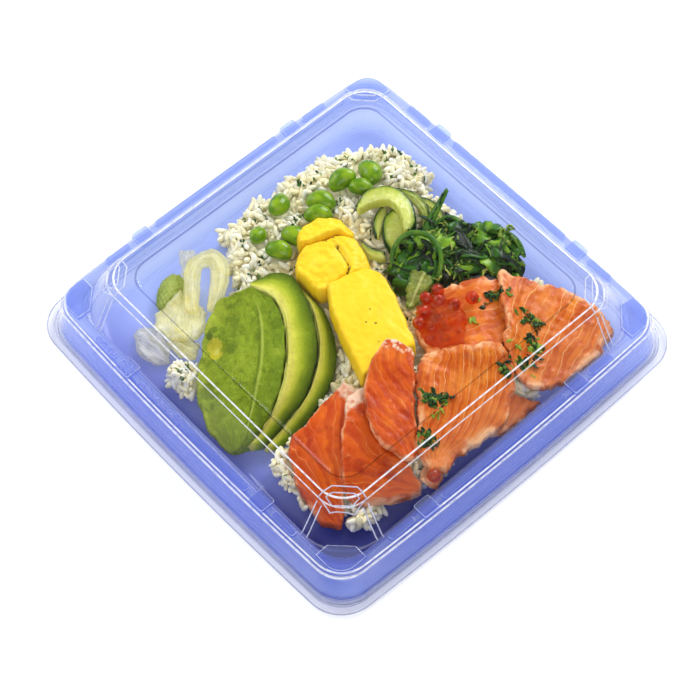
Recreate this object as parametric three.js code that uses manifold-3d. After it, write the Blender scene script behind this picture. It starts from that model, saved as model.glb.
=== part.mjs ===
// A square takeaway sushi tray with its clip-over lid: a rice bed that carries slices of salmon, avocado,
// rolled omelette and cucumber, green soya beans, seaweed salad, salmon roe, pickled ginger and wasabi.
// Millimetres, +Z up. The origin is the middle of the footprint, on the surface that the tray stands on.

import * as THREE from 'three';
import { mergeVertices } from 'three/addons/utils/BufferGeometryUtils.js';
import Module from 'manifold-3d';

const wasm = await Module();
wasm.setup();

// ---------------------------------------------------------------- driving dimensions

const GAP = 0.35; // clearance between neighbouring pieces
const SHEET = 0.8; // wall of the tray
const FILM = 0.55; // wall of the lid

const FLOOR_Z = 0.9; // top of the tray's floor
const STEP_Z = 11.8; // ledge part of the way up the tray's wall
const RIM_Z = 17.3; // top of the tray's rim
const PLATEAU_Z = 36.9; // top of the lid's dome

const FLOOR_HALF = 74.6; // half widths, beside a corner
const WALL_FOOT_HALF = 76.4;
const STEP_HALF = 79.4;
const WALL_TOP_HALF = 81.4;
const RIM_HALF = 85.7;
const SKIRT_HALF = 88.6;
const LIP_HALF = 89.3;
const FLANGE_HALF = 93.6;
const DOME_FOOT_HALF = 81.6;
const DOME_EDGE_HALF = 70.6;
const PANEL_HALF = 63.6;

const BOW = 1.5; // how far the middle of a side stands out past its ends
const RIM_RADIUS = 13;
const SKIRT_RADIUS = 15;
const DOME_FOOT_RADIUS = 20;
const DOME_EDGE_RADIUS = 12;
const SIDE_STEPS = 4;
const CORNER_STEPS = 5;

const LUG_AT = 40; // the rim's lugs, this far each way from the middle of a side
const LUG_SIZE = 8;
const LUG_RISE = 1.3;
const BAR_RISE = 0.8;
const BAR_WIDTH = 2.8;

const BEAN_LENGTH = 12.5;
const BEAN_WIDTH = 9;
const BEAN_DEPTH = 8;
const EGG_RADIUS = 2.75;

const RICE_STEP = 3.2; // spacing of the rice bed's grid, about one short grain
const RICE_DEPTH = 9.5;
const RICE_MOST = 15.5; // depth where a topping presses on a mound

// ---------------------------------------------------------------- colours and finishes

const finish = (color, roughness) => new THREE.MeshStandardMaterial({ color, roughness, metalness: 0 });

const trayFinish = finish(0x6478dc, 0.25);
trayFinish.transparent = true;
trayFinish.opacity = 0.75;
const lidFinish = finish(0xf2f3ff, 0.08);
lidFinish.transparent = true;
lidFinish.opacity = 0.2;
const riceFinish = finish(0xf0ead2, 0.6);
const salmonFinish = finish(0xee7a3c, 0.35);
const darkSalmonFinish = finish(0xe2551a, 0.35);
const avocadoFinish = finish(0x9fc23a, 0.45);
const omeletteFinish = finish(0xffdd38, 0.5);
const beanFinish = finish(0x86bc28, 0.35);
const cucumberFinish = finish(0xc6d684, 0.35);
const seaweedFinish = finish(0x1f5a20, 0.4);
const leafFinish = finish(0x8fae4a, 0.45);
const roeFinish = finish(0xe8481a, 0.15);
const gingerFinish = finish(0xf0e8a8, 0.35);
const wasabiFinish = finish(0xa9c86a, 0.7);

// ---------------------------------------------------------------- solids

/** A repeatable random number generator, from 0 to 1. */
function randomFrom(seed) {
  let state = seed;
  return () => {
    state = (state * 1664525 + 1013904223) % 4294967296;
    return state / 4294967296;
  };
}

/** A closed body from its corners and faces, turned so that its faces point out. */
function bodyOf(corners, faces) {
  const vertProperties = new Float32Array(corners.flatMap((p) => [p.x, p.y, p.z]));
  const make = (triVerts) => new wasm.Manifold(new wasm.Mesh({ numProp: 3, vertProperties, triVerts }));
  const body = make(new Uint32Array(faces.flat()));
  return body.volume() > 0 ? body : make(new Uint32Array(faces.flatMap(([a, b, c]) => [a, c, b])));
}

/** A closed body from a three.js geometry. */
function bodyOfGeometry(geometry) {
  const bare = geometry.clone();
  bare.deleteAttribute('normal');
  bare.deleteAttribute('uv');
  const merged = mergeVertices(bare, 1e-4);
  return new wasm.Manifold(
    new wasm.Mesh({
      numProp: 3,
      vertProperties: merged.attributes.position.array,
      triVerts: Uint32Array.from(merged.index.array),
    }),
  );
}

/** The corners and faces of a body, as a three.js geometry. */
function geometryOf(body) {
  const { numProp, vertProperties, triVerts } = body.getMesh();
  const position = new Float32Array((vertProperties.length / numProp) * 3);
  for (let i = 0; i < position.length / 3; i++) {
    position.set(vertProperties.subarray(i * numProp, i * numProp + 3), i * 3);
  }
  const geometry = new THREE.BufferGeometry();
  geometry.setAttribute('position', new THREE.BufferAttribute(position, 3));
  geometry.setIndex(new THREE.BufferAttribute(triVerts, 1));
  geometry.computeVertexNormals();
  return geometry;
}

/** The largest of a body's separate pieces. */
function largestOf(body) {
  return body.decompose().reduce((a, b) => (b.volume() > a.volume() ? b : a));
}

/** A closed body through loops of equal point count, with a fan at each end. */
function loft(rings) {
  const count = rings[0].length;
  const corners = rings.flat();
  const faces = [];
  rings.slice(1).forEach((_, row) => {
    for (let j = 0; j < count; j++) {
      const a = row * count + j;
      const b = row * count + ((j + 1) % count);
      faces.push([a, b, b + count], [a, b + count, a + count]);
    }
  });
  const middleOf = (ring) => ring.reduce((sum, p) => sum.add(p), new THREE.Vector3()).divideScalar(count);
  const start = corners.push(middleOf(rings[0])) - 1;
  const end = corners.push(middleOf(rings.at(-1))) - 1;
  const lastRow = (rings.length - 1) * count;
  for (let j = 0; j < count; j++) {
    faces.push([start, (j + 1) % count, j], [end, lastRow + j, lastRow + ((j + 1) % count)]);
  }
  return bodyOf(corners, faces);
}

/** A square loop with round corners, whose sides bow out by bow at their middles. */
function squareRing({ half, radius, z, bow = 0 }) {
  const straight = half - radius;
  const ring = [];
  for (let side = 0; side < 4; side++) {
    const turn = (x, y) => new THREE.Vector3(x, y, z).applyAxisAngle(UP, (side * Math.PI) / 2);
    for (let i = 0; i <= SIDE_STEPS; i++) {
      const along = (2 * i) / SIDE_STEPS - 1;
      ring.push(turn(half + bow * (1 - along * along), along * straight));
    }
    for (let i = 1; i < CORNER_STEPS; i++) {
      const angle = (i / CORNER_STEPS) * (Math.PI / 2);
      ring.push(turn(straight + radius * Math.cos(angle), straight + radius * Math.sin(angle)));
    }
  }
  return ring;
}

const UP = new THREE.Vector3(0, 0, 1);

// ---------------------------------------------------------------- tray and lid

/** The tray: a thin formed sheet, from the middle of its underside out to its lip and back inside. */
function trayBody() {
  const dip = SHEET * 1.1;
  const section = [
    { half: FLOOR_HALF, radius: 13, z: 0 },
    { half: WALL_FOOT_HALF + SHEET, radius: 13, z: 1.4 },
    { half: STEP_HALF + SHEET, radius: RIM_RADIUS, z: STEP_Z - dip },
    { half: STEP_HALF + 1.3 + SHEET, radius: RIM_RADIUS, z: STEP_Z - 0.4 },
    { half: WALL_TOP_HALF + SHEET, radius: RIM_RADIUS, z: RIM_Z - SHEET - 0.8 },
    { half: WALL_TOP_HALF + 1.6, radius: RIM_RADIUS, z: RIM_Z - SHEET, bow: 0.6 },
    { half: RIM_HALF - 0.4, radius: RIM_RADIUS, z: RIM_Z - SHEET, bow: BOW },
    { half: RIM_HALF + 0.1, radius: RIM_RADIUS, z: RIM_Z - SHEET - 0.6, bow: BOW },
    { half: SKIRT_HALF - SHEET, radius: SKIRT_RADIUS, z: 1.8, bow: BOW },
    { half: SKIRT_HALF - SHEET, radius: SKIRT_RADIUS, z: 0.6, bow: BOW },
    { half: LIP_HALF, radius: SKIRT_RADIUS, z: 0.6, bow: BOW },
    { half: LIP_HALF, radius: SKIRT_RADIUS, z: 1.3, bow: BOW },
    { half: SKIRT_HALF, radius: SKIRT_RADIUS, z: 1.9, bow: BOW },
    { half: RIM_HALF + 0.9, radius: RIM_RADIUS, z: RIM_Z - 0.8, bow: BOW },
    { half: RIM_HALF, radius: RIM_RADIUS, z: RIM_Z, bow: BOW },
    { half: WALL_TOP_HALF + 1.1, radius: RIM_RADIUS, z: RIM_Z, bow: 0.6 },
    { half: WALL_TOP_HALF, radius: RIM_RADIUS, z: RIM_Z - 0.8 },
    { half: STEP_HALF + 1.3, radius: RIM_RADIUS, z: STEP_Z + 0.4 },
    { half: STEP_HALF, radius: RIM_RADIUS, z: STEP_Z - 0.2 },
    { half: WALL_FOOT_HALF, radius: 13, z: 1.8 },
    { half: FLOOR_HALF, radius: 13, z: FLOOR_Z },
  ];
  return loft(section.map(squareRing));
}

/** A low block on the lid's rim. */
function rimBlock({ x, y, width, length, rise }) {
  const foot = RIM_Z + GAP + FILM / 2;
  const top = RIM_Z + GAP + FILM + rise;
  const block = new THREE.BoxGeometry(width, length, top - foot);
  block.translate(x, y, (foot + top) / 2);
  return block;
}

/** The lid: flange, skirt and rim over the tray's, then a dome with a plateau and a recessed panel. */
function lidBody() {
  const skirt = SKIRT_HALF + GAP + 0.3;
  const inside = [
    { half: PANEL_HALF - 0.8, radius: 9, z: PLATEAU_Z - FILM - 0.5 },
    { half: PANEL_HALF, radius: 9.5, z: PLATEAU_Z - FILM },
    { half: DOME_EDGE_HALF - 0.3, radius: DOME_EDGE_RADIUS, z: PLATEAU_Z - FILM },
    { half: DOME_EDGE_HALF + 1.7, radius: DOME_EDGE_RADIUS, z: PLATEAU_Z - FILM - 2.2 },
    { half: DOME_FOOT_HALF - FILM, radius: DOME_FOOT_RADIUS, z: RIM_Z + GAP + 0.3 },
    { half: WALL_TOP_HALF + 1.2, radius: RIM_RADIUS, z: RIM_Z + GAP, bow: 0.6 },
    { half: RIM_HALF + 0.3, radius: RIM_RADIUS, z: RIM_Z + GAP, bow: BOW },
    { half: RIM_HALF + 1.3, radius: RIM_RADIUS, z: RIM_Z - 0.6, bow: BOW },
    { half: skirt, radius: SKIRT_RADIUS, z: 2.2, bow: BOW },
    { half: LIP_HALF + GAP + 0.3, radius: SKIRT_RADIUS, z: 1.6, bow: BOW },
    { half: LIP_HALF + GAP + 0.3, radius: SKIRT_RADIUS, z: 0.8, bow: BOW },
  ];
  const outside = [
    { half: FLANGE_HALF, radius: SKIRT_RADIUS + 1, z: 0.8, bow: BOW },
    { half: FLANGE_HALF, radius: SKIRT_RADIUS + 1, z: 0.8 + FILM, bow: BOW },
    { half: LIP_HALF + 1.5, radius: SKIRT_RADIUS, z: 0.8 + FILM, bow: BOW },
    { half: skirt + FILM + 0.2, radius: SKIRT_RADIUS, z: 2.6, bow: BOW },
    { half: RIM_HALF + 1.3 + FILM, radius: RIM_RADIUS, z: RIM_Z - 0.2, bow: BOW },
    { half: RIM_HALF + 0.4, radius: RIM_RADIUS, z: RIM_Z + GAP + FILM, bow: BOW },
    { half: WALL_TOP_HALF + 1.3, radius: RIM_RADIUS, z: RIM_Z + GAP + FILM, bow: 0.6 },
    { half: DOME_FOOT_HALF, radius: DOME_FOOT_RADIUS, z: RIM_Z + GAP + FILM + 0.3 },
    { half: DOME_EDGE_HALF + 2.1, radius: DOME_EDGE_RADIUS, z: PLATEAU_Z - 2.2 },
    { half: DOME_EDGE_HALF, radius: DOME_EDGE_RADIUS, z: PLATEAU_Z },
    { half: PANEL_HALF, radius: 9.5, z: PLATEAU_Z },
    { half: PANEL_HALF - 0.8, radius: 9, z: PLATEAU_Z - 0.5 },
  ];
  let lid = loft([...inside, ...outside].map(squareRing));
  const middle = RIM_HALF - 1.6;
  for (let side = 0; side < 4; side++) {
    const blocks = [-LUG_AT, LUG_AT].map((y) =>
      rimBlock({ x: middle, y, width: LUG_SIZE - 0.6, length: LUG_SIZE, rise: LUG_RISE }),
    );
    blocks.push(rimBlock({ x: middle + 0.9, y: 0, width: BAR_WIDTH, length: 66, rise: BAR_RISE }));
    for (const y of [-53, 53]) {
      blocks.push(rimBlock({ x: middle + 0.3, y, width: BAR_WIDTH, length: 13, rise: BAR_RISE }));
    }
    blocks.push(cornerBlock());
    for (const block of blocks) {
      lid = lid.add(bodyOfGeometry(block.rotateZ((side * Math.PI) / 2)));
    }
  }
  return lid;
}

/** The raised pad on a corner of the lid's rim, with its inner side cut across at 45 degrees. */
function cornerBlock() {
  const reach = RIM_HALF - 1.2;
  const near = 70.5;
  const pad = new THREE.Shape();
  pad.moveTo(near, reach);
  pad.lineTo(near, 78.4);
  pad.lineTo(78.4, near);
  pad.lineTo(reach, near);
  pad.absarc(reach - 8, reach - 8, 8, 0, Math.PI / 2, false);
  const foot = RIM_Z + GAP + FILM / 2;
  const depth = FILM / 2 + LUG_RISE;
  const block = new THREE.ExtrudeGeometry(pad, { depth, bevelEnabled: false, curveSegments: 3 });
  block.translate(0, 0, foot);
  return block;
}

// ---------------------------------------------------------------- laying the food

/** Highest and lowest points of all that has been laid, on a grid over the tray. */
const relief = {
  reach: 90,
  cells: 180,
  top: new Float32Array(180 * 180).fill(-Infinity),
  under: new Float32Array(180 * 180).fill(Infinity),

  /** Calls visit with the cells within distance of a place. */
  near(x, y, distance, visit) {
    const low = (v) => Math.max(0, Math.floor(v - distance + this.reach));
    const high = (v) => Math.min(this.cells - 1, Math.floor(v + distance + this.reach));
    for (let i = low(x); i <= high(x); i++) {
      for (let j = low(y); j <= high(y); j++) visit(i * this.cells + j);
    }
  },
  above(x, y, distance) {
    let most = -Infinity;
    this.near(x, y, distance, (cell) => (most = Math.max(most, this.top[cell])));
    return most;
  },
  below(x, y, distance) {
    let least = Infinity;
    this.near(x, y, distance, (cell) => (least = Math.min(least, this.under[cell])));
    return least;
  },
  /** Adds a body's faces, by the height of each face over each cell's middle. */
  stamp(body) {
    const { numProp, vertProperties, triVerts } = body.getMesh();
    const corner = (k) => new THREE.Vector3().fromArray(vertProperties, triVerts[k] * numProp);
    const weights = new THREE.Vector3();
    for (let k = 0; k < triVerts.length; k += 3) {
      const [a, b, c] = [corner(k), corner(k + 1), corner(k + 2)];
      const [fa, fb, fc] = [a, b, c].map((p) => new THREE.Vector3(p.x, p.y, 0));
      const from = (axis) => Math.floor(Math.min(a[axis], b[axis], c[axis]) + this.reach);
      const to = (axis) => Math.ceil(Math.max(a[axis], b[axis], c[axis]) + this.reach);
      for (let i = from('x'); i <= to('x'); i++) {
        for (let j = from('y'); j <= to('y'); j++) {
          const middle = new THREE.Vector3(i + 0.5 - this.reach, j + 0.5 - this.reach, 0);
          if (!THREE.Triangle.getBarycoord(middle, fa, fb, fc, weights)) continue;
          if (Math.min(weights.x, weights.y, weights.z) < -1e-6) continue;
          const z = weights.x * a.z + weights.y * b.z + weights.z * c.z;
          const cell = i * this.cells + j;
          this.top[cell] = Math.max(this.top[cell], z);
          this.under[cell] = Math.min(this.under[cell], z);
        }
      }
    }
  },
};

/** Moves a point in from the tray's wall, where it would be less than margin from it. */
function insideTray(point, margin) {
  const rise = THREE.MathUtils.clamp((point.z - 1.8) / (STEP_Z - 2), 0, 1);
  const half = THREE.MathUtils.lerp(WALL_FOOT_HALF, STEP_HALF, rise) - margin;
  const corner = half - RIM_RADIUS;
  const away = new THREE.Vector2(Math.abs(point.x) - corner, Math.abs(point.y) - corner);
  if (away.x > 0 && away.y > 0 && away.length() > RIM_RADIUS) away.setLength(RIM_RADIUS);
  point.x = Math.sign(point.x) * Math.min(half, corner + away.x);
  point.y = Math.sign(point.y) * Math.min(half, corner + away.y);
  return point;
}

/** Places from 0 to 1 with a narrow first and last step, which carry the rounded edge. */
function roundedSteps(count, edge) {
  const inner = Array.from({ length: count - 1 }, (_, i) => edge + ((1 - 2 * edge) * i) / (count - 2));
  return [0, ...inner, 1];
}

const smoothCurve = (points) => new THREE.CatmullRomCurve3(points.map((p) => new THREE.Vector3(...p)));

/**
 * A soft slice between two rails, which give the places and heights of its upper edges. It lies on what
 * is under it, thins out at its rounded edges, and keeps clear of the tray's wall.
 */
function slice({ left, right, thick, along = 9, across = 5, crown = 0, inset = 0.8, ...placing }) {
  const { lift = 0, drapes = true } = placing;
  const thickness = typeof thick === 'function' ? thick : () => thick;
  const [leftCurve, rightCurve] = [left, right].map(smoothCurve);
  const rows = roundedSteps(along, 0.05);
  const columns = roundedSteps(across, 0.08);
  const grid = rows.map((s) => {
    const [from, to] = [leftCurve.getPoint(s), rightCurve.getPoint(s)];
    return columns.map((t) => from.clone().lerp(to, t));
  });
  const isEdge = (i, j) => i === 0 || j === 0 || i === along || j === across;
  const breadth = Math.max(4, leftCurve.getPoint(0.5).distanceTo(rightCurve.getPoint(0.5)));
  const deep = rows.map((s) => columns.map((t) => thickness(s, t)));
  const under = grid.map((row, i) =>
    row.map((p, j) => {
      const bulge = crown * Math.sin(Math.PI * rows[i]) * Math.sin(Math.PI * columns[j]);
      const free = p.z + bulge + lift - deep[i][j];
      const rest = drapes ? relief.above(p.x, p.y, 1.2) + GAP + lift : -Infinity;
      return Math.max(free, rest, FLOOR_Z + GAP);
    }),
  );
  if (drapes) settle(under);
  const corners = [];
  const middle = grid[Math.round(along / 2)][Math.round(across / 2)];
  grid.forEach((row, i) =>
    row.forEach((p, j) => {
      const round = isEdge(i, j) ? Math.min(0.45 * deep[i][j], 2.2) : 0;
      const pull = isEdge(i, j) ? inset / breadth : 0;
      const z = under[i][j] + deep[i][j] - round;
      const upper = new THREE.Vector3(p.x, p.y, z).lerp(new THREE.Vector3(middle.x, middle.y, z), pull);
      corners.push(insideTray(upper, 0.6), insideTray(new THREE.Vector3(p.x, p.y, under[i][j]), 0.6));
    }),
  );
  const top = (i, j) => 2 * (i * (across + 1) + j);
  const faces = [];
  for (let i = 0; i < along; i++) {
    for (let j = 0; j < across; j++) {
      const [a, b, c, d] = [top(i, j), top(i + 1, j), top(i + 1, j + 1), top(i, j + 1)];
      faces.push([a, b, c], [a, c, d], [a + 1, c + 1, b + 1], [a + 1, d + 1, c + 1]);
    }
  }
  const border = [
    ...Array.from({ length: across }, (_, j) => top(0, j)),
    ...Array.from({ length: along }, (_, i) => top(i, across)),
    ...Array.from({ length: across }, (_, j) => top(along, across - j)),
    ...Array.from({ length: along }, (_, i) => top(along - i, 0)),
  ];
  border.forEach((a, k) => {
    const b = border[(k + 1) % border.length];
    faces.push([a, b, b + 1], [a, b + 1, a + 1]);
  });
  return bodyOf(corners, faces);
}

/** Lets a draped underside span its hollows, so that it bends no more than a soft slice would. */
function settle(under) {
  for (let pass = 0; pass < 3; pass++) {
    const before = under.map((row) => [...row]);
    for (let i = 1; i < under.length - 1; i++) {
      for (let j = 1; j < under[i].length - 1; j++) {
        const around = before[i - 1][j] + before[i + 1][j] + before[i][j - 1] + before[i][j + 1];
        under[i][j] = Math.max(under[i][j], around / 4);
      }
    }
  }
}

const model = new THREE.Group();
const laid = new Map();

/** Adds a body to the model as a named sub-part. */
function add(name, body, material) {
  laid.set(name, body);
  const mesh = new THREE.Mesh(geometryOf(body), material);
  mesh.name = name;
  model.add(mesh);
}

/** A body grown outwards: each corner moves until it is clear, by the distance, of the faces around it. */
function swollen(body, by) {
  const { numProp, vertProperties, triVerts } = body.getMesh();
  const points = [];
  for (let i = 0; i < vertProperties.length; i += numProp) {
    points.push(new THREE.Vector3().fromArray(vertProperties, i));
  }
  const facing = points.map(() => []);
  for (let k = 0; k < triVerts.length; k += 3) {
    const around = [...triVerts.subarray(k, k + 3)];
    const normal = new THREE.Triangle(...around.map((i) => points[i])).getNormal(new THREE.Vector3());
    around.forEach((i) => facing[i].push(normal));
  }
  const grown = points.map((p, i) => {
    const shift = new THREE.Vector3();
    for (let pass = 0; pass < 6; pass++) {
      for (const normal of facing[i]) shift.addScaledVector(normal, Math.max(0, by - normal.dot(shift)));
    }
    return shift.clampLength(0, 2.5 * by).add(p);
  });
  const corners = new Float32Array(grown.flatMap((p) => [p.x, p.y, p.z]));
  return new wasm.Manifold(new wasm.Mesh({ numProp: 3, vertProperties: corners, triVerts }));
}

/** Cuts a body clear of all that lies closer to it than the clearance. */
function clearOf(body, others) {
  const close = others.filter((other) => body.minGap(other, 1) < 0.6 * GAP);
  if (close.length === 0) return body;
  const cut = close.reduce((left, other) => left.subtract(swollen(other, GAP)), body);
  return largestOf(cut).simplify(0.05);
}

/** Lays a slice: lifted a little at a time until it is clear of the others, or cut clear of them. */
function lay(name, shape, material) {
  const others = [...laid.values()];
  const lifts = shape.drapes === false ? [0] : [0, 0.25, 0.5, 0.8, 1.1];
  const tries = lifts.map((lift) => () => slice({ ...shape, lift }));
  let body;
  for (const make of tries) {
    body = make();
    if (others.every((other) => body.minGap(other, 1) > 0.6 * GAP)) break;
  }
  body = clearOf(body, others);
  relief.stamp(body);
  for (const [x, y, heading] of shape.herbs ?? []) body = body.add(herb(x, y, heading));
  relief.stamp(body);
  add(name, body, material);
}

/** A scrap of chopped herb, sunk a little into whatever lies highest at its place. */
function herb(x, y, heading) {
  const outline = new THREE.Shape();
  outline.moveTo(-2.8, -0.2);
  outline.lineTo(-0.6, -1.1);
  outline.lineTo(2.6, -0.6);
  outline.lineTo(1.6, 0.9);
  outline.lineTo(-1, 1.1);
  outline.closePath();
  const scrap = new THREE.ExtrudeGeometry(outline, { depth: 1.2, bevelEnabled: false });
  scrap.rotateZ(THREE.MathUtils.degToRad(heading)).translate(x, y, relief.above(x, y, 0.6) - 0.8);
  return bodyOfGeometry(scrap);
}

/** Adds a free-standing body that has been cut clear of the others. */
function place(name, body, material) {
  const clear = clearOf(body, [...laid.values()]);
  relief.stamp(clear);
  add(name, clear, material);
}

/** A rail set off to the side of another, and lower. */
function beside(rail, offset, drop) {
  const curve = smoothCurve(rail);
  return rail.map((_, i) => {
    const s = i / (rail.length - 1);
    const side = curve.getTangent(s).cross(UP).setZ(0).normalize().multiplyScalar(offset);
    const p = curve.getPoint(s);
    return [p.x - side.x, p.y - side.y, p.z - drop];
  });
}

const arch = (t) => Math.sqrt(Math.max(0, 1 - Math.abs(2 * t - 1) ** 3));

// ---------------------------------------------------------------- omelette, avocado

/** Three thick slabs of rolled omelette in a row. */
function layOmelette() {
  const front = {
    left: [[-14, -3, 24.5], [0, -11.6, 24.8], [17, -17.8, 24.8], [28.5, -22.2, 24.8]],
    right: [[-9.5, 14.5, 24.5], [-3, 16.6, 25], [12, 12.6, 25.3], [31.5, 4.4, 25]],
  };
  const rear = {
    left: [[-41, 4, 22], [-42.5, 11, 22], [-39.5, 19.3, 22.5], [-34, 22.6, 23], [-25.5, 22.5, 23]],
    right: [
      [-35.5, 2.3, 23.5], [-32.6, 8.2, 24], [-30.9, 13.2, 24.5], [-28.6, 17.4, 24], [-23.5, 20.2, 23.5],
    ],
  };
  const middle = {
    left: [[-35.8, 3, 22], [-29.8, -5.6, 22], [-23, -7.2, 22], [-13, -6.4, 22]],
    right: [[-28, 18.5, 23], [-22.5, 20.8, 23], [-15.5, 19.5, 22.7], [-7.5, 16.5, 22.5]],
  };
  const slab = { inset: 1.2, crown: 0.8, drapes: false };
  lay('omelette_front', { ...front, ...slab, thick: 12 }, omeletteFinish);
  lay('omelette_rear', { ...rear, ...slab, thick: 11, along: 7, across: 4 }, omeletteFinish);
  lay('omelette_middle', { ...middle, ...slab, thick: 11, along: 6, across: 5 }, omeletteFinish);
}

/** Half an avocado in three wedges, side by side, that step down towards the omelette. */
function layAvocado() {
  const cheek = [
    [-34.8, -25.6, 23], [-24, -22.8, 24.5], [-11.3, -27.6, 24.5], [1.4, -38.5, 23.5],
    [8.2, -47.2, 21], [11.8, -54.4, 18], [13.2, -61.2, 14], [13.3, -69.5, 8],
  ];
  const second = [
    [-37.5, -22.9, 20], [-34.4, -12.7, 20], [-28.4, -8.4, 19.5], [-13.8, -12.4, 19.5],
    [2, -22.1, 18], [12.6, -36.8, 14.5], [15.7, -50.4, 10.5], [17.3, -64.9, 7],
  ];
  const third = [
    [-24.5, -8.2, 16.5], [-15, -8, 15.5], [-8, -8.6, 14.8], [2, -13.1, 13.5],
    [10, -19, 12], [17.3, -31.7, 10.5], [20.4, -44.6, 7.5], [22, -59, 5],
  ];
  const outer = [
    [-35.8, -26.8, 21], [-39.5, -37.3, 17], [-36.2, -47.3, 14], [-26.9, -58.6, 13],
    [-17.9, -68.4, 10], [-7, -74, 7], [3.4, -75.6, 5], [10, -74.6, 3.8],
  ];
  const wedge = (least, most) => (s, t) =>
    (least + (most - least) * Math.sin((t * Math.PI) / 2)) * (0.4 + 0.6 * arch(s));
  const strip = (from, to) => (s, t) => (from + (to - from) * t) * (0.45 + 0.55 * arch(s));
  const fine = { along: 13, across: 6, drapes: false, inset: 0.8 };
  lay('avocado_1', { ...fine, left: outer, right: cheek, thick: wedge(2, 11), crown: 1.6 }, avocadoFinish);
  const secondShape = { left: beside(cheek, 0.8, 1.5), right: second, thick: strip(9, 6), crown: 1 };
  lay('avocado_2', { ...fine, ...secondShape, across: 4 }, avocadoFinish);
  const inner = [[-24, -10.2, 19.3], ...second.slice(3)];
  const thirdShape = { left: beside(inner, 0.8, 1.5), right: third, thick: strip(7, 3.5), crown: 0.8 };
  lay('avocado_3', { ...fine, ...thirdShape, across: 4 }, avocadoFinish);
}

// ---------------------------------------------------------------- salmon

/** Eight thin slices: three deep orange ones in front, five paler ones at the right. */
function laySalmon() {
  const front = [
    {
      left: [
        [21, -25, 18], [22.3, -34, 17], [24.6, -47, 16], [25.8, -57.8, 14.5],
        [36, -65, 12.5], [48, -69, 9], [58, -70, 5],
      ],
      right: [
        [29, -24, 19], [34.4, -33, 18.5], [45.7, -47, 17.5],
        [55.9, -56.5, 14], [61.5, -61.5, 9], [64, -65.5, 5],
      ],
    },
    {
      left: [
        [30, -31.8, 20.5], [38.7, -41.7, 20], [47.7, -50.5, 19], [54.8, -56.5, 16],
        [61, -57.5, 12], [68.6, -48, 9.5], [73.6, -39.5, 9],
      ],
      right: [
        [31, -21.5, 20], [49.2, -28, 20.5], [60.9, -31.5, 18.5],
        [68, -31.5, 14.5], [73.5, -31.8, 10], [75, -34, 9],
      ],
    },
    {
      left: [
        [22.9, -4.7, 27.5], [27.4, -17, 27], [34, -26, 25],
        [42.7, -33, 24], [52.4, -36, 22], [64.5, -34, 18.5],
      ],
      right: [
        [33.7, 0.5, 27.5], [40.5, -5.5, 26], [46.8, -11, 24.5],
        [53, -16.5, 23], [59.2, -21.8, 21.5], [67.5, -31, 18],
      ],
    },
  ];
  const right = [
    {
      left: [[65.1, 20.1, 13], [73.4, 25.9, 10], [76.5, 27.8, 9]],
      right: [[76, 2.5, 9], [78, 12, 8], [77.5, 21.5, 8]],
    },
    {
      herbs: [[34.5, 43, 70]],
      left: [[24, 10.5, 18.5], [16.8, 27.3, 19.5], [21.7, 43.3, 20], [28, 51, 19.5], [35.8, 51.1, 18.5]],
      right: [[35.5, 4.5, 19], [41.5, 11.5, 21], [49.6, 21, 21.5], [53.2, 28.4, 20.5], [51.5, 37.3, 19]],
    },
    {
      herbs: [[53.6, 46.2, 20], [63.5, 33, 80], [57.5, 40, -40]],
      left: [[26.5, 53.3, 18.5], [35.7, 58.9, 18], [47.1, 67.9, 16.5], [61, 73.5, 13], [70.5, 75.5, 9]],
      right: [
        [53.8, 30.5, 19.5], [61.6, 26.4, 17], [70.1, 27, 12.5], [76.1, 32.5, 10],
        [78.3, 46, 9], [78, 60.5, 8], [74, 70, 8],
      ],
    },
    {
      left: [[69.5, -26, 13], [71, -30.5, 11], [74.6, -32.5, 8.5]],
      right: [[74, -20.5, 12], [76.8, -25, 10], [77, -29.5, 8]],
    },
    {
      herbs: [[53.5, -8.5, 15], [58, -10.8, 75], [64.5, -20.5, 30], [63.5, 22, -20]],
      left: [
        [35.2, 2.9, 21.5], [42.3, -6.3, 21.5], [51.5, -15.2, 20.5], [62, -24.6, 18.5],
        [68.5, -27.8, 15.5], [73.5, -27.6, 12.5],
      ],
      right: [
        [53.7, 30.4, 21.5], [61.2, 27.2, 20.5], [68, 22.5, 17], [74.5, 13.5, 13.5],
        [76.6, 1.5, 11], [75.6, -8, 11.5], [74.8, -15, 12], [76.6, -22.5, 10.5],
      ],
    },
  ];
  const feather = (depth) => (s, t) => depth * (0.55 + 0.45 * arch(t));
  const thickSlice = { thick: feather(5), along: 9, across: 4, crown: 0.6 };
  front.forEach((rails, i) => {
    lay(`salmon_front_${i + 1}`, { ...rails, ...thickSlice }, darkSalmonFinish);
  });
  const broadSlice = { thick: feather(4.4), along: 9, across: 5, crown: 0.5 };
  const scrap = { thick: feather(3.4), along: 5, across: 3, crown: 0.5 };
  right.forEach((rails, i) => {
    const isScrap = i === 0 || i === 3;
    lay(`salmon_right_${i + 1}`, { ...rails, ...(isScrap ? scrap : broadSlice) }, salmonFinish);
  });
}

// ---------------------------------------------------------------- cucumber, beans, seaweed, roe

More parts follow.
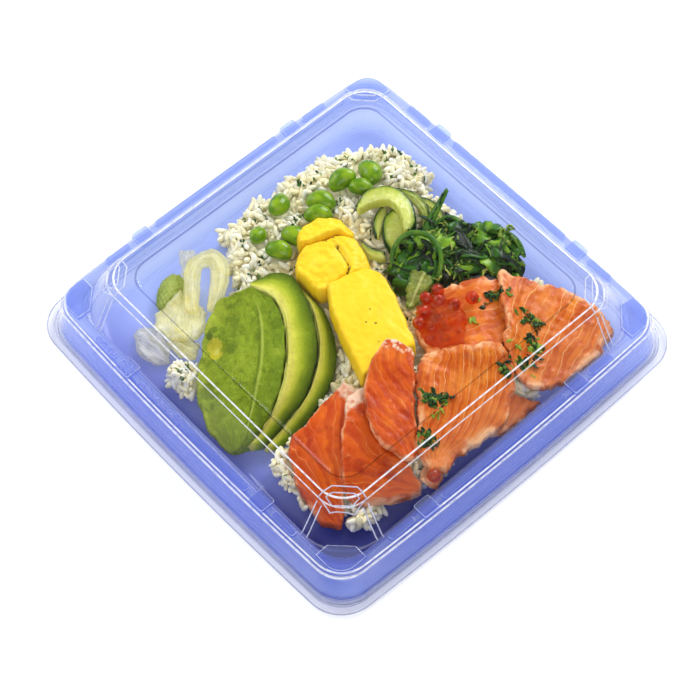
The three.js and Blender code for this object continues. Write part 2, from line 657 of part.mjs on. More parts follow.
/** Six bent half-moon slices of cucumber, with their peel on. */
function layCucumber() {
  const slices = [
    {
      left: [[-27, 57.5, 12.5], [-21.8, 61, 13.5], [-15.2, 61.5, 13.5], [-8, 58.8, 12]],
      right: [[-21.5, 53.8, 14], [-15.6, 52.8, 14], [-10.4, 51, 13.5], [-7.4, 53.2, 12.5]],
    },
    {
      left: [[-26, 27.1, 13], [-20, 27.3, 13], [-15, 30.5, 13]],
      right: [[-24.2, 24.5, 12], [-17.1, 23.5, 12], [-11.7, 27.4, 11.5]],
    },
    {
      left: [[-32.2, 42.7, 15], [-28.5, 35.3, 15], [-22.8, 31, 14]],
      right: [[-28, 44.2, 15.5], [-24, 38, 15.5], [-20.8, 32.3, 14]],
    },
    {
      left: [[-26.5, 43.5, 17], [-24.2, 37.2, 16.5], [-18.4, 32, 15], [-12.5, 30, 13.5]],
      right: [[-21, 46, 18], [-14.8, 42.5, 17.5], [-11.6, 37.5, 15.5], [-10.6, 32, 13.5]],
    },
    {
      left: [
        [-35.1, 53.2, 16], [-27.6, 57.2, 17.5], [-20.6, 57.4, 18], [-14.1, 54.6, 17.5], [-10.4, 50, 16],
      ],
      right: [
        [-31, 52.2, 16], [-24.5, 52.9, 17.5], [-18.7, 52.3, 18], [-14.3, 50.3, 17.5], [-12.4, 47.6, 16],
      ],
    },
    {
      left: [
        [-38.2, 33.8, 17.5], [-38.9, 39.6, 20], [-36.6, 45.8, 21.5], [-31.6, 50.2, 22],
        [-24.5, 51, 22], [-17.4, 48.8, 21.5], [-12, 44.4, 20.5], [-9.6, 40, 19.5],
      ],
      right: [
        [-34, 33, 17.5], [-32.8, 37.4, 19.5], [-30, 40.8, 21], [-26, 42.8, 22],
        [-21, 42.6, 22], [-17, 40.9, 21.5], [-14.4, 39.2, 20.5], [-13, 37.8, 19.5],
      ],
    },
  ];
  slices.forEach((rails, i) => {
    const isArc = i === slices.length - 1;
    const size = isArc ? { thick: 5, along: 12, across: 4 } : { thick: 3, along: 7, across: 3 };
    lay(`cucumber_${i + 1}`, { ...rails, ...size }, cucumberFinish);
  });
}

/** Green soya beans: their middles, the way each points, and its pitch, in degrees. */
function layBeans() {
  const beans = [
    { at: [-52, 39.5, 16.5], heading: 75, pitch: 20, scale: 1 },
    { at: [-46.5, 51, 16], heading: -20, pitch: 10, scale: 1.05 },
    { at: [-43.4, 42.6, 17], heading: 40, pitch: 0, scale: 0.85 },
    { at: [-50, 26.5, 15.5], heading: 35, pitch: 5, scale: 1 },
    { at: [-45, 20.5, 17], heading: 45, pitch: 0, scale: 0.95 },
    { at: [-60, 12.5, 15.5], heading: -60, pitch: 15, scale: 0.95 },
    { at: [-54.5, -4, 15.5], heading: -50, pitch: 30, scale: 0.8 },
    { at: [-44, 7, 15.5], heading: 20, pitch: 0, scale: 0.95 },
    { at: [-43, -2.5, 16], heading: 30, pitch: 0, scale: 0.92 },
  ];
  beans.forEach(({ at, heading, pitch, scale }, i) => {
    const bean = new THREE.SphereGeometry(0.5, 8, 6).rotateZ(Math.PI / 2);
    bean.scale(BEAN_LENGTH * scale, BEAN_WIDTH * scale, BEAN_DEPTH * scale);
    const kidney = bean.attributes.position;
    for (let k = 0; k < kidney.count; k++) {
      const end = (2 * kidney.getX(k)) / BEAN_LENGTH;
      kidney.setY(k, kidney.getY(k) - 1.2 * end * end);
    }
    bean.rotateY(THREE.MathUtils.degToRad(-pitch)).rotateZ(THREE.MathUtils.degToRad(heading));
    bean.translate(...at);
    place(`bean_${i + 1}`, bodyOfGeometry(bean), beanFinish);
  });
}

/** A flat strand along a curve. */
function strand(points, width, depth, steps) {
  const half = [width / 2, depth / 2];
  const section = new THREE.Shape();
  section.moveTo(half[1], 0);
  section.lineTo(0, half[0]);
  section.lineTo(-half[1], 0);
  section.lineTo(0, -half[0]);
  section.closePath();
  return new THREE.ExtrudeGeometry(section, { steps, extrudePath: smoothCurve(points), bevelEnabled: false });
}

/** The seaweed salad: a low heap with the strands that stand out of it. */
function laySeaweed() {
  const heap = slice({
    left: [
      [-8, 21.5, 13], [-11, 33, 15], [-9.5, 44, 16], [-7, 54, 16], [2, 63, 16], [12, 69.5, 15], [24, 70, 12],
    ],
    right: [[5, 18.5, 13], [13.5, 33, 16], [17.5, 42, 17], [22, 50, 17], [26, 57, 15], [31.5, 63.5, 11]],
    thick: (s, t) => 4 + 6 * arch(t) * arch(s),
    along: 11,
    across: 6,
    crown: 2,
  });
  const arcs = [
    { points: [[-14.5, 64, 24.5], [-11.5, 55.5, 22], [-8.8, 48, 19.5], [-6, 41, 15]], width: 4 },
    {
      points: [
        [-5.5, 24, 14], [-8.6, 29, 19], [-7.6, 35.5, 22.5], [-2.5, 40.8, 23.5],
        [4, 41.6, 22.5], [9, 38, 20], [11, 33, 15],
      ],
      width: 3,
    },
    { points: [[-9, 50, 17], [-6, 58, 18.5], [1, 61, 18]], width: 3 },
    { points: [[3, 60, 17], [10.5, 67, 18.5], [19, 70.5, 18], [26, 69.5, 13]], width: 4 },
    { points: [[12, 70, 19], [18, 64, 20], [20.5, 56, 17]], width: 3.5 },
    { points: [[-8, 30, 13], [-2, 30, 16], [2, 24, 14]], width: 3 },
    { points: [[0, 50, 17], [6, 54, 20], [12, 50, 19], [14, 43, 17]], width: 2.6 },
    { points: [[4, 44, 17], [10, 47, 20.5], [17, 53, 19], [22, 61, 15]], width: 2.6 },
    { points: [[-6, 46, 17], [0, 45, 19.5], [3, 38, 18], [1, 31, 14]], width: 3 },
    { points: [[8, 62, 17], [14, 58, 20], [22, 60, 18], [29, 64, 13]], width: 3.4 },
  ];
  const random = randomFrom(11);
  for (let i = 0; i < 8; i++) {
    const [x, y] = [-6 + 28 * random(), 30 + 34 * random()];
    const turn = 2 * Math.PI * random();
    const [dx, dy] = [5 * Math.cos(turn), 5 * Math.sin(turn)];
    const points = [[x - dx, y - dy, 13.5], [x, y, 19 + 2 * random()], [x + dx, y + dy, 13.5]];
    arcs.push({ points, width: 2.4 });
  }
  const others = [...laid.values()];
  let salad = clearOf(heap, others);
  for (const { points, width } of arcs) {
    const piece = bodyOfGeometry(strand(points, width, 1.5, 4));
    const crosses = others.some((other) => piece.minGap(other, 1) < 0.6 * GAP);
    salad = salad.add(crosses ? clearOf(piece, others) : piece);
  }
  place('seaweed', salad, seaweedFinish);
}

/** Salmon roe: eggs that stand half out of their own jelly. */
function layRoe() {
  const cluster = [
    [17, 22.5], [18, 28], [21.5, 18], [22.5, 24], [23, 12.5], [26, 19.5], [27, 28.5], [28, 14.5],
    [28.5, 24], [31.5, 19], [34, 25],
  ];
  const jelly = slice({
    left: [[21, 12, 21], [16.5, 19.5, 21], [17, 27, 21.5], [23, 31.5, 22]],
    right: [[31, 7.5, 21], [38, 12, 22], [42, 19.5, 22.5], [37, 27, 22]],
    thick: 2.2,
    along: 6,
    across: 5,
  });
  let roe = clearOf(jelly, [...laid.values()]);
  const settled = roe;
  for (const [x, y] of cluster) {
    const bed = Math.max(relief.above(x, y, 1.4), 19);
    const egg = new THREE.SphereGeometry(EGG_RADIUS, 8, 5).translate(x, y, bed + GAP + EGG_RADIUS + 0.7);
    const ball = bodyOfGeometry(egg);
    if (ball.minGap(settled, 1) < 0.01) roe = roe.add(ball);
  }
  place('roe', roe, roeFinish);
  const strays = [[30.5, 35], [75.3, -27.8]];
  strays.forEach(([x, y], i) => {
    const z = relief.above(x, y, 0.6) + GAP + EGG_RADIUS + 0.1;
    const egg = new THREE.SphereGeometry(EGG_RADIUS, 8, 6).translate(x, y, z);
    place(`roe_egg_${i + 1}`, bodyOfGeometry(egg), roeFinish);
  });
}

// ---------------------------------------------------------------- ginger, wasabi, leaf

/** Pickled ginger in folded petals, with a lump of wasabi, in the tray's bare corner. */
function layGingerAndWasabi() {
  const lump = new THREE.SphereGeometry(1, 12, 8).scale(9.5, 6, 4.2);
  const spots = lump.attributes.position;
  for (let k = 0; k < spots.count; k++) {
    const knob = 1 + 0.07 * Math.sin(2.3 * spots.getX(k)) * Math.cos(2.9 * spots.getY(k) + spots.getZ(k));
    spots.setXYZ(k, spots.getX(k) * knob, spots.getY(k) * knob, Math.max(-3, spots.getZ(k) * knob));
  }
  lump.rotateZ(THREE.MathUtils.degToRad(-55)).translate(-62.5, -44.5, FLOOR_Z + GAP + 3);
  place('wasabi', bodyOfGeometry(lump), wasabiFinish);
  const petals = [
    {
      left: [[-58, -68.7, 3], [-50.8, -71.7, 3], [-44, -70.9, 3], [-38.1, -67.7, 3]],
      right: [[-60.2, -65.6, 3], [-58, -60.9, 3.5], [-52.3, -59, 4], [-43, -61, 4]],
    },
    {
      left: [[-45, -61.6, 5], [-37.5, -61.4, 6], [-31.1, -59.3, 7]],
      right: [[-46, -57.5, 6.5], [-40.5, -54.3, 7.5], [-34.5, -51.7, 8.5]],
    },
    {
      left: [[-60, -42.6, 9], [-57.5, -51, 7.5], [-56.5, -59, 5.5], [-50, -61, 5.5], [-42.5, -60, 7]],
      right: [[-51, -41, 10], [-46, -41.6, 10.5], [-40.8, -44, 11], [-37, -47.5, 11], [-36, -53, 9.5]],
    },
    {
      left: [[-73, -31, 13], [-68, -35, 10], [-63.5, -39, 9.5]],
      right: [[-69, -26.5, 13], [-66, -29, 11.5], [-62.8, -35, 10]],
    },
    {
      left: [
        [-49, -49.5, 12], [-57.2, -42, 13], [-64.4, -34.6, 14], [-65.2, -27, 14.5], [-62, -21, 14.5],
        [-54.5, -20.8, 14.5], [-48, -25.2, 14.5], [-42.3, -32.8, 14], [-38.4, -41, 13.5],
      ],
      right: [
        [-43.5, -45, 12], [-51.2, -38.2, 13], [-56.8, -32.8, 14], [-58.4, -30, 14.5], [-57.2, -28.6, 14.5],
        [-53.4, -30.8, 14.5], [-49.6, -34.6, 14.5], [-46.2, -38.4, 14], [-43, -42.2, 13.5],
      ],
    },
  ];
  petals.forEach((rails, i) => {
    const along = rails.left.length > 5 ? 14 : 6;
    lay(`ginger_${i + 1}`, { ...rails, thick: 1.7, along, across: 3, crown: 0.8, inset: 0.3 }, gingerFinish);
  });
}

/** A pale green leaf between the omelette, the seaweed and the roe. */
function layLeaf() {
  const rails = {
    left: [[1.5, 30, 17], [5.5, 24, 17.5], [11.5, 15.5, 16.5]],
    right: [[11, 33, 17], [14, 26, 17.5], [15.5, 18.5, 16.5]],
  };
  lay('lettuce_leaf', { ...rails, thick: 1.6, along: 8, across: 5, crown: 1.4, inset: 0.3 }, leafFinish);
}

// ---------------------------------------------------------------- rice

const RICE_HALF = 73.6; // where the bed meets the tray's wall
const RICE_CORNER = { straight: 58, radius: 13.5 };
const LOOSE_CLUMP = { x: -25, y: -67.5, radius: 10.5 }; // beside the avocado's foot
const AVOCADO_BED = { x: -14, half: 11 }; // the strip under the avocado

/** How far a place is inside the rice bed's outline. */
function insideRice(x, y) {
  const wall = RICE_HALF - Math.max(Math.abs(x), Math.abs(y));
  const beyond = [x, y].map((v) => Math.max(0, Math.abs(v) - RICE_CORNER.straight));
  const corner = RICE_CORNER.radius - Math.hypot(...beyond);
  const bareCorner = Math.max((x + 70) * 0.45 + (y + 13) * 0.89, x - 12);
  const underAvocado = AVOCADO_BED.half - Math.abs(x - AVOCADO_BED.x);
  const clump = LOOSE_CLUMP.radius - Math.hypot(x - LOOSE_CLUMP.x, y - LOOSE_CLUMP.y);
  const rearCorner = (x + 73) * 0.87 - (y - 39) * 0.49;
  const rear = x > -32 ? 67 - y : 76 - y;
  const front = x < 48 ? y + 70.5 : y + 73;
  const right = y > -40 ? 71.5 - x : 70 - x;
  const bed = Math.max(bareCorner, clump, Math.min(underAvocado, y + 66));
  return Math.min(wall, corner, bed, rearCorner, rear, front + (clump > 0 ? 6 : 0), right);
}

/** The height of the loose rice above the tray's floor, before any topping presses it. */
function riceDepth(x, y) {
  const mounds = [
    { x: -43, y: 62, rise: 4, size: 10 },
    { x: -58, y: 33, rise: 3.5, size: 8 },
    { x: -58, y: 5, rise: 3, size: 9 },
    { x: -54, y: -14, rise: 3.5, size: 8 },
    { x: -40, y: 32, rise: 4.5, size: 6 },
    { x: -22, y: -68, rise: 2, size: 7 },
    { x: 66, y: -58, rise: 2, size: 7 },
  ];
  return mounds.reduce(
    (depth, m) => depth + m.rise * Math.exp(-((x - m.x) ** 2 + (y - m.y) ** 2) / m.size ** 2),
    RICE_DEPTH,
  );
}

/** The rice bed: a bumpy slab on the tray's floor that fills the space under the toppings. */
function layRice() {
  const random = randomFrom(5);
  const count = Math.round((2 * WALL_FOOT_HALF) / RICE_STEP);
  const base = FLOOR_Z + GAP;
  const spots = [];
  for (let i = 0; i <= count; i++) {
    for (let j = 0; j <= count; j++) {
      const [jx, jy, jz] = [random() - 0.5, random() - 0.5, random() - 0.5];
      const [gridX, gridY] = [i, j].map((k) => (k - count / 2) * RICE_STEP);
      const covered = Number.isFinite(relief.below(gridX, gridY, 0.6));
      const x = gridX + (covered ? 0 : jx * 0.5 * RICE_STEP);
      const y = gridY + (covered ? 0 : jy * 0.5 * RICE_STEP);
      const inside = insideRice(x, y) + 1.5 * Math.sin(0.35 * x + 1) * Math.sin(0.31 * y);
      const shoulder = Math.sqrt(Math.min(1, Math.max(0, 1 - (1 - Math.min(1, inside / 8)) ** 2)));
      const pressed = relief.below(x, y, RICE_STEP) - GAP;
      const mound = (covered ? RICE_MOST : riceDepth(x, y) + 1.8 * jz) * (0.25 + 0.75 * shoulder);
      const free = base + mound;
      const z = covered ? 2 * Math.floor(Math.min(free, pressed) / 2) : Math.min(free, pressed);
      spots.push({ x, y, z, used: inside > 0.4 && z > base + 0.8 });
    }
  }
  const at = (i, j) => i * (count + 1) + j;
  const cells = new Set();
  for (let i = 0; i < count; i++) {
    for (let j = 0; j < count; j++) {
      const corners = [at(i, j), at(i + 1, j), at(i + 1, j + 1), at(i, j + 1)];
      if (corners.every((k) => spots[k].used)) cells.add(at(i, j));
    }
  }
  joinCorners(cells, count, at);
  const corners = spots.flatMap(({ x, y, z, used }) => [
    new THREE.Vector3(x, y, used ? z : base + 1),
    new THREE.Vector3(x, y, base),
  ]);
  const faces = [];
  for (const cell of cells) {
    const loop = [cell, cell + count + 1, cell + count + 2, cell + 1];
    const [a, b, c, d] = loop.map((k) => 2 * k);
    faces.push([a, b, c], [a, c, d], [a + 1, c + 1, b + 1], [a + 1, d + 1, c + 1]);
    const beyond = [cell - 1, cell + count + 1, cell + 1, cell - count - 1];
    loop.forEach((from, side) => {
      if (cells.has(beyond[side])) return;
      const [p, q] = [2 * from, 2 * loop[(side + 1) % 4]];
      faces.push([p, p + 1, q + 1], [p, q + 1, q]);
    });
  }
  const bed = largestOf(bodyOf(corners, faces)).simplify(0.3);
  add('rice', clearOf(bed, [...laid.values()]), riceFinish);
}

/** Fills in where two cells would meet at a corner only. */
function joinCorners(cells, count, at) {
  for (let i = 0; i < count - 1; i++) {
    for (let j = 0; j < count - 1; j++) {
      const [a, b, c, d] = [at(i, j), at(i + 1, j), at(i + 1, j + 1), at(i, j + 1)].map((k) => cells.has(k));
      if (a && c && !b && !d) cells.add(at(i + 1, j));
      if (b && d && !a && !c) cells.add(at(i, j));
    }
  }
}

// ---------------------------------------------------------------- the whole

add('tray', trayBody(), trayFinish);
add('lid', lidBody(), lidFinish);
layGingerAndWasabi();
layOmelette();
layAvocado();
laySalmon();
layCucumber();
layBeans();
laySeaweed();
layLeaf();
layRoe();
layRice();

export default model;
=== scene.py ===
"""The looks of a takeaway sushi tray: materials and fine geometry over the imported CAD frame.

Lengths in this script are millimetres until a mesh is made; Blender's unit is the metre.
"""

import math

import bpy
import numpy as np
from mathutils import Matrix, Vector, noise
from mathutils.bvhtree import BVHTree


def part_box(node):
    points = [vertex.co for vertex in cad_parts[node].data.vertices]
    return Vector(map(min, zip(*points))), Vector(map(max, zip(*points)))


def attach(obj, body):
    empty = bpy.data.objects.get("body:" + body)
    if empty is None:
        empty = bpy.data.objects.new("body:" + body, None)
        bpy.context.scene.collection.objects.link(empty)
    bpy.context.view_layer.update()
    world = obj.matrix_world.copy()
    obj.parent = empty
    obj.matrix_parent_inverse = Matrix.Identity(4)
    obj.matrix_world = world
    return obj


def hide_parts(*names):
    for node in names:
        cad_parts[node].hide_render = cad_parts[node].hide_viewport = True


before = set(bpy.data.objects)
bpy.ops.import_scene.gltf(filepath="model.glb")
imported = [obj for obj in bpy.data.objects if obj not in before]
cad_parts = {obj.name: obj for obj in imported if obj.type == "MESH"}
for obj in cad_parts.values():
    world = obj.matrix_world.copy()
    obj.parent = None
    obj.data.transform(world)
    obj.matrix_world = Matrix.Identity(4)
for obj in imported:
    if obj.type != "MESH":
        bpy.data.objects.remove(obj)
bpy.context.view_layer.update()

MM = 0.001

# ---------------------------------------------------------------- dimensions, as in the CAD part

GAP = 0.35
SHEET = 0.8
FILM = 0.55
FLOOR_Z = 0.9
STEP_Z = 11.8
RIM_Z = 17.3
PLATEAU_Z = 36.9
FLOOR_HALF = 74.6
WALL_FOOT_HALF = 76.4
STEP_HALF = 79.4
WALL_TOP_HALF = 81.4
RIM_HALF = 85.7
SKIRT_HALF = 88.6
LIP_HALF = 89.3
FLANGE_HALF = 93.6
DOME_FOOT_HALF = 81.6
DOME_EDGE_HALF = 70.6
PANEL_HALF = 63.6
BOW = 1.5
RIM_RADIUS = 13
SKIRT_RADIUS = 15
DOME_FOOT_RADIUS = 20
DOME_EDGE_RADIUS = 12
LUG_AT = 40
LUG_SIZE = 8
LUG_RISE = 1.3
BAR_RISE = 0.8
BEAN_SIZE = (12.5, 9, 8)
EGG_RADIUS = 2.75
GRAIN = (6.6, 2.7, 2.4)
WALL_FOOT_Z = 1.8

# Layers of unevenness, sides of a strand, and the span of a random heading in radians.
OCTAVES = 3
SIDES = 6
TURN = 6.28

# ---------------------------------------------------------------- small helpers


def rgb(red, green, blue, alpha=1.0):
    """A colour from 0-255 display values to the linear ones that shaders take."""
    levels = [c / 255 for c in (red, green, blue)]
    linear = [c / 12.92 if c < 0.0404 else ((c + 0.055) / 1.055) ** 2.4 for c in levels]
    return (*linear, alpha)


def rough(x, y, size, seed=0, z=0.0):
    """Smooth unevenness from about -1 to 1 whose features are size across, at each of some places."""
    x, y = np.asarray(x, float), np.asarray(y, float)
    z = np.broadcast_to(np.asarray(z, float), x.shape)
    places = zip(x.ravel() / size + 7.3 * seed, y.ravel() / size - 3.1 * seed, z.ravel() / size + seed)
    return np.array([noise.fractal(Vector(place), 1.0, 2.0, OCTAVES) for place in places]).reshape(x.shape)


def smoothed(field, passes):
    """A height field with its bumps evened out."""
    for _ in range(passes):
        wide = np.pad(field, 1, mode="edge")
        field = (wide[:-2, 1:-1] + wide[2:, 1:-1] + wide[1:-1, :-2] + wide[1:-1, 2:] + 2 * field) / 6
    return field


def filled(field):
    """A height field whose missing places take the mean of their neighbours."""
    field = field.copy()
    while np.isnan(field).any():
        wide = np.pad(field, 1, mode="edge")
        around = np.stack([wide[:-2, 1:-1], wide[2:, 1:-1], wide[1:-1, :-2], wide[1:-1, 2:]])
        known = ~np.isnan(around)
        mean = np.nansum(np.where(known, around, 0), 0) / np.maximum(known.sum(0), 1)
        fresh = np.isnan(field) & known.any(0)
        if not fresh.any():
            return np.nan_to_num(field, nan=FLOOR_Z)
        field[fresh] = mean[fresh]
    return field


def bump_step(x, low, high):
    """A smooth step from 0 at low to 1 at high."""
    x = np.clip((np.asarray(x, float) - low) / (high - low), 0, 1)
    return x * x * (3 - 2 * x)


STEPS = np.linspace(0, 1, 201)


def curve_table(points):
    """A centripetal Catmull-Rom curve through points, at each of STEPS."""
    p = np.array(points, float)
    last = len(p) - 1
    rows = []
    for step in STEPS:
        i = min(int(step * last), last - 1)
        w = step * last - i
        before = p[i - 1] if i > 0 else 2 * p[0] - p[1]
        after = p[i + 2] if i + 2 <= last else 2 * p[last] - p[last - 1]
        four = [before, p[i], p[i + 1], after]
        d0, d1, d2 = (max(np.sum((b - a) ** 2) ** 0.25, 1e-4) for a, b in zip(four, four[1:]))
        t1 = ((four[1] - four[0]) / d0 - (four[2] - four[0]) / (d0 + d1) + (four[2] - four[1]) / d1) * d1
        t2 = ((four[2] - four[1]) / d1 - (four[3] - four[1]) / (d1 + d2) + (four[3] - four[2]) / d2) * d1
        rows.append(
            four[1] * (2 * w**3 - 3 * w**2 + 1)
            + t1 * (w**3 - 2 * w**2 + w)
            + four[2] * (3 * w**2 - 2 * w**3)
            + t2 * (w**3 - w**2)
        )
    return np.array(rows)


def on_curve(table, s):
    """Points of a tabled curve at places from 0 to 1."""
    return np.stack([np.interp(s, STEPS, table[:, k]) for k in range(table.shape[1])], -1)


def tree_of(*names):
    """A search tree over some CAD nodes, in millimetres."""
    corners, faces = [], []
    for name in names:
        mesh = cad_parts[name].data
        start = len(corners)
        corners += [v.co / MM for v in mesh.vertices]
        faces += [[start + k for k in p.vertices] for p in mesh.polygons]
    return BVHTree.FromPolygons(corners, faces)


def heights(tree, x, y, down=True):
    """The height where a ray down, or up, over each place meets the tree, or nan."""
    start, way = (60.0, Vector((0, 0, -1))) if down else (-5.0, Vector((0, 0, 1)))
    hits = [tree.ray_cast(Vector((a, b, start)), way)[0] for a, b in zip(x.ravel(), y.ravel())]
    return np.array([hit.z if hit else np.nan for hit in hits]).reshape(x.shape)


def make_piece(name, corners, faces, material, nodes=(), marks=None):
    """A mesh object of the shown model that rides on the tray and stands for some CAD nodes."""
    mesh = bpy.data.meshes.new(name)
    mesh.from_pydata((np.asarray(corners, float) * MM).tolist(), [], faces)
    for key, values in (marks or {}).items():
        values = np.asarray(values, np.float32)
        kind = "FLOAT_VECTOR" if values.ndim == 2 else "FLOAT"
        layer = mesh.attributes.new(key, kind, "POINT")
        layer.data.foreach_set("vector" if values.ndim == 2 else "value", values.ravel())
    mesh.polygons.foreach_set("use_smooth", [True] * len(mesh.polygons))
    mesh.materials.append(material)
    mesh.update()
    piece = bpy.data.objects.new(name, mesh)
    bpy.context.scene.collection.objects.link(piece)
    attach(piece, "root")
    if nodes:
        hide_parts(*nodes)
    return piece


def turned_out(corners, faces):
    """Faces turned so that a closed mesh's normals point out of it."""
    p = np.asarray(corners, float)
    sizes = {}
    for face in faces:
        sizes.setdefault(len(face), []).append(face)
    volume = 0.0
    for group in sizes.values():
        f = np.array(group)
        for k in range(1, f.shape[1] - 1):
            volume += np.sum(p[f[:, 0]] * np.cross(p[f[:, k]], p[f[:, k + 1]]))
    return faces if volume > 0 else [face[::-1] for face in faces]


class Heap:
    """Many small closed meshes joined to one."""

    def __init__(self):
        self.corners, self.faces, self.marks, self.count = [], [], [], 0

    def add(self, corners, faces, mark=0.0):
        corners = np.asarray(corners, float)
        self.faces += [[k + self.count for k in face] for face in faces]
        self.corners.append(corners)
        self.marks.append(np.broadcast_to(np.asarray(mark, float), (len(corners),)))
        self.count += len(corners)

    def piece(self, name, material, nodes=(), slot=None):
        marks = {"mark": np.concatenate(self.marks)}
        return make_piece(name, np.concatenate(self.corners), self.faces, material, nodes, marks)


# ---------------------------------------------------------------- material kit


class Shade:
    """A material's node tree, built up a node at a time."""

    def __init__(self, name):
        self.material = bpy.data.materials.new(name)
        self.material.use_nodes = True
        self.tree = self.material.node_tree
        self.tree.nodes.clear()
        self.output = self.node("ShaderNodeOutputMaterial")
        self.where = self.node("ShaderNodeTexCoord").outputs["Object"]

    def node(self, kind, inputs=None, **settings):
        made = self.tree.nodes.new(kind)
        for key, value in settings.items():
            setattr(made, key, value)
        for key, value in (inputs or {}).items():
            self.feed(made.inputs[key], value)
        return made

    def feed(self, socket, value):
        if isinstance(value, bpy.types.NodeSocket):
            self.tree.links.new(value, socket)
        else:
            socket.default_value = value

    def calc(self, operation, a, b=0.0, c=0.0, clamp=False):
        made = self.node("ShaderNodeMath", operation=operation, use_clamp=clamp)
        for socket, value in zip(made.inputs, (a, b, c)):
            self.feed(socket, value)
        return made.outputs[0]

    def plus(self, a, b, clamp=False):
        return self.calc("ADD", a, b, clamp=clamp)

    def less(self, a, b):
        return self.calc("SUBTRACT", a, b)

    def times(self, a, b, clamp=False):
        return self.calc("MULTIPLY", a, b, clamp=clamp)

    def scaled(self, a, factor, shift):
        return self.calc("MULTIPLY_ADD", a, factor, shift)

    def abs(self, a):
        return self.calc("ABSOLUTE", a)

    def sway(self, field, amount):
        """Noise centred about 0, times an amount."""
        return self.times(self.less(field, 0.5), amount)

    def weighted(self, *pairs):
        """The sum of some fields, each times its weight."""
        total = None
        for field, weight in pairs:
            part = self.times(field, weight)
            total = part if total is None else self.plus(total, part)
        return total

    def span(self, value, low, high, out_low=0.0, out_high=1.0, smooth=True):
        made = self.node(
            "ShaderNodeMapRange",
            {"Value": value, "From Min": low, "From Max": high, "To Min": out_low, "To Max": out_high},
            interpolation_type="SMOOTHSTEP" if smooth else "LINEAR",
        )
        return made.outputs["Result"]

    def noise(self, size, detail=3.0, roughness=0.55, at=None, distortion=0.0):
        """Noise from 0 to 1 with features about size millimetres across."""
        inputs = {
            "Vector": at or self.where,
            "Scale": 1 / (size * MM) if at is None else 1 / size,
            "Detail": detail,
            "Roughness": roughness,
            "Distortion": distortion,
        }
        return self.node("ShaderNodeTexNoise", inputs).outputs[0]

    def cells(self, size):
        """The distance to the nearest of some points that lie about size millimetres apart."""
        inputs = {"Vector": self.where, "Scale": 1 / (size * MM)}
        return self.node("ShaderNodeTexVoronoi", inputs).outputs["Distance"]

    def mix(self, fac, a, b):
        made = self.node("ShaderNodeMix", data_type="RGBA")
        self.feed(made.inputs[0], fac)
        self.feed(made.inputs[6], a)
        self.feed(made.inputs[7], b)
        return made.outputs[2]

    def ramp(self, fac, stops):
        made = self.node("ShaderNodeValToRGB", {"Fac": fac})
        band = made.color_ramp
        band.interpolation = "B_SPLINE" if len(stops) > 3 else "EASE"
        while len(band.elements) < len(stops):
            band.elements.new(0.5)
        for element, (place, colour) in zip(band.elements, stops):
            element.position = place
            element.color = colour
        return made.outputs["Color"]

    def steps(self, fac, stops):
        """A colour ramp whose tones change in straight runs between the stops."""
        node = self.ramp(fac, stops)
        node.node.color_ramp.interpolation = "LINEAR"
        return node

    def mark(self, name="mark"):
        return self.node("ShaderNodeAttribute", attribute_name=name).outputs["Fac"]

    def rails(self):
        """Place along and across a slice, from 0 to 1, and depth from its edge in millimetres."""
        made = self.node("ShaderNodeAttribute", attribute_name="rails")
        split = self.node("ShaderNodeSeparateXYZ", {"Vector": made.outputs["Vector"]})
        return split.outputs[0], split.outputs[1], split.outputs[2]

    def vector(self, x, y, z):
        return self.node("ShaderNodeCombineXYZ", {"X": x, "Y": y, "Z": z}).outputs[0]

    def position(self):
        """The three coordinates in millimetres."""
        scaled = self.node("ShaderNodeVectorMath", {0: self.where, 1: (1 / MM,) * 3}, operation="MULTIPLY")
        split = self.node("ShaderNodeSeparateXYZ", {"Vector": scaled.outputs[0]})
        return split.outputs[0], split.outputs[1], split.outputs[2]

    def near(self, x, y, radius, soft, ragged=0.0):
        """1 inside a circle on plan, 0 outside it; ragged is how far its edge strays, in millimetres."""
        px, py, _ = self.position()
        away = self.calc("SQRT", self.plus(self.squared(px, x), self.squared(py, y)))
        if ragged:
            away = self.scaled(self.noise(2.2, 3, 0.7), ragged * 4, self.less(away, ragged * 2))
        return self.span(away, radius + soft, radius)

    def squared(self, value, middle):
        return self.calc("POWER", self.abs(self.less(value, middle)), 2.0)

    def sheen(self, straight, normal):
        """The share of light that a surface reflects, from straight on to grazing, the same on both sides."""
        facing = self.node("ShaderNodeLayerWeight", {"Blend": 0.5, "Normal": normal}).outputs["Facing"]
        return self.scaled(self.calc("POWER", facing, 5.0), 1 - straight, straight)

    def bump(self, height, strength=0.5, distance=0.3):
        inputs = {"Strength": strength, "Distance": distance * MM, "Height": height}
        return self.node("ShaderNodeBump", inputs).outputs[0]

    def skin(
        self, colour, roughness, normal=None, soft=0.0, radius=(1.0, 0.5, 0.3), depth=1.0, coat=0.0,
        level=0.25,
    ):
        """The principled shader: soft is the share of light that scatters inside, to depth millimetres."""
        inputs = {"Base Color": colour, "Roughness": roughness, "Specular IOR Level": level}
        if normal is not None:
            inputs["Normal"] = normal
        shader = self.node("ShaderNodeBsdfPrincipled", inputs)
        if soft:
            shader.inputs["Subsurface Weight"].default_value = soft
            shader.inputs["Subsurface Radius"].default_value = radius
            shader.inputs["Subsurface Scale"].default_value = depth * MM
        if coat:
            shader.inputs["Coat Weight"].default_value = coat
            shader.inputs["Coat Roughness"].default_value = 0.08
        return shader.outputs[0]

    def done(self, shader):
        self.tree.links.new(shader, self.output.inputs["Surface"])
        return self.material


# ---------------------------------------------------------------- plastics


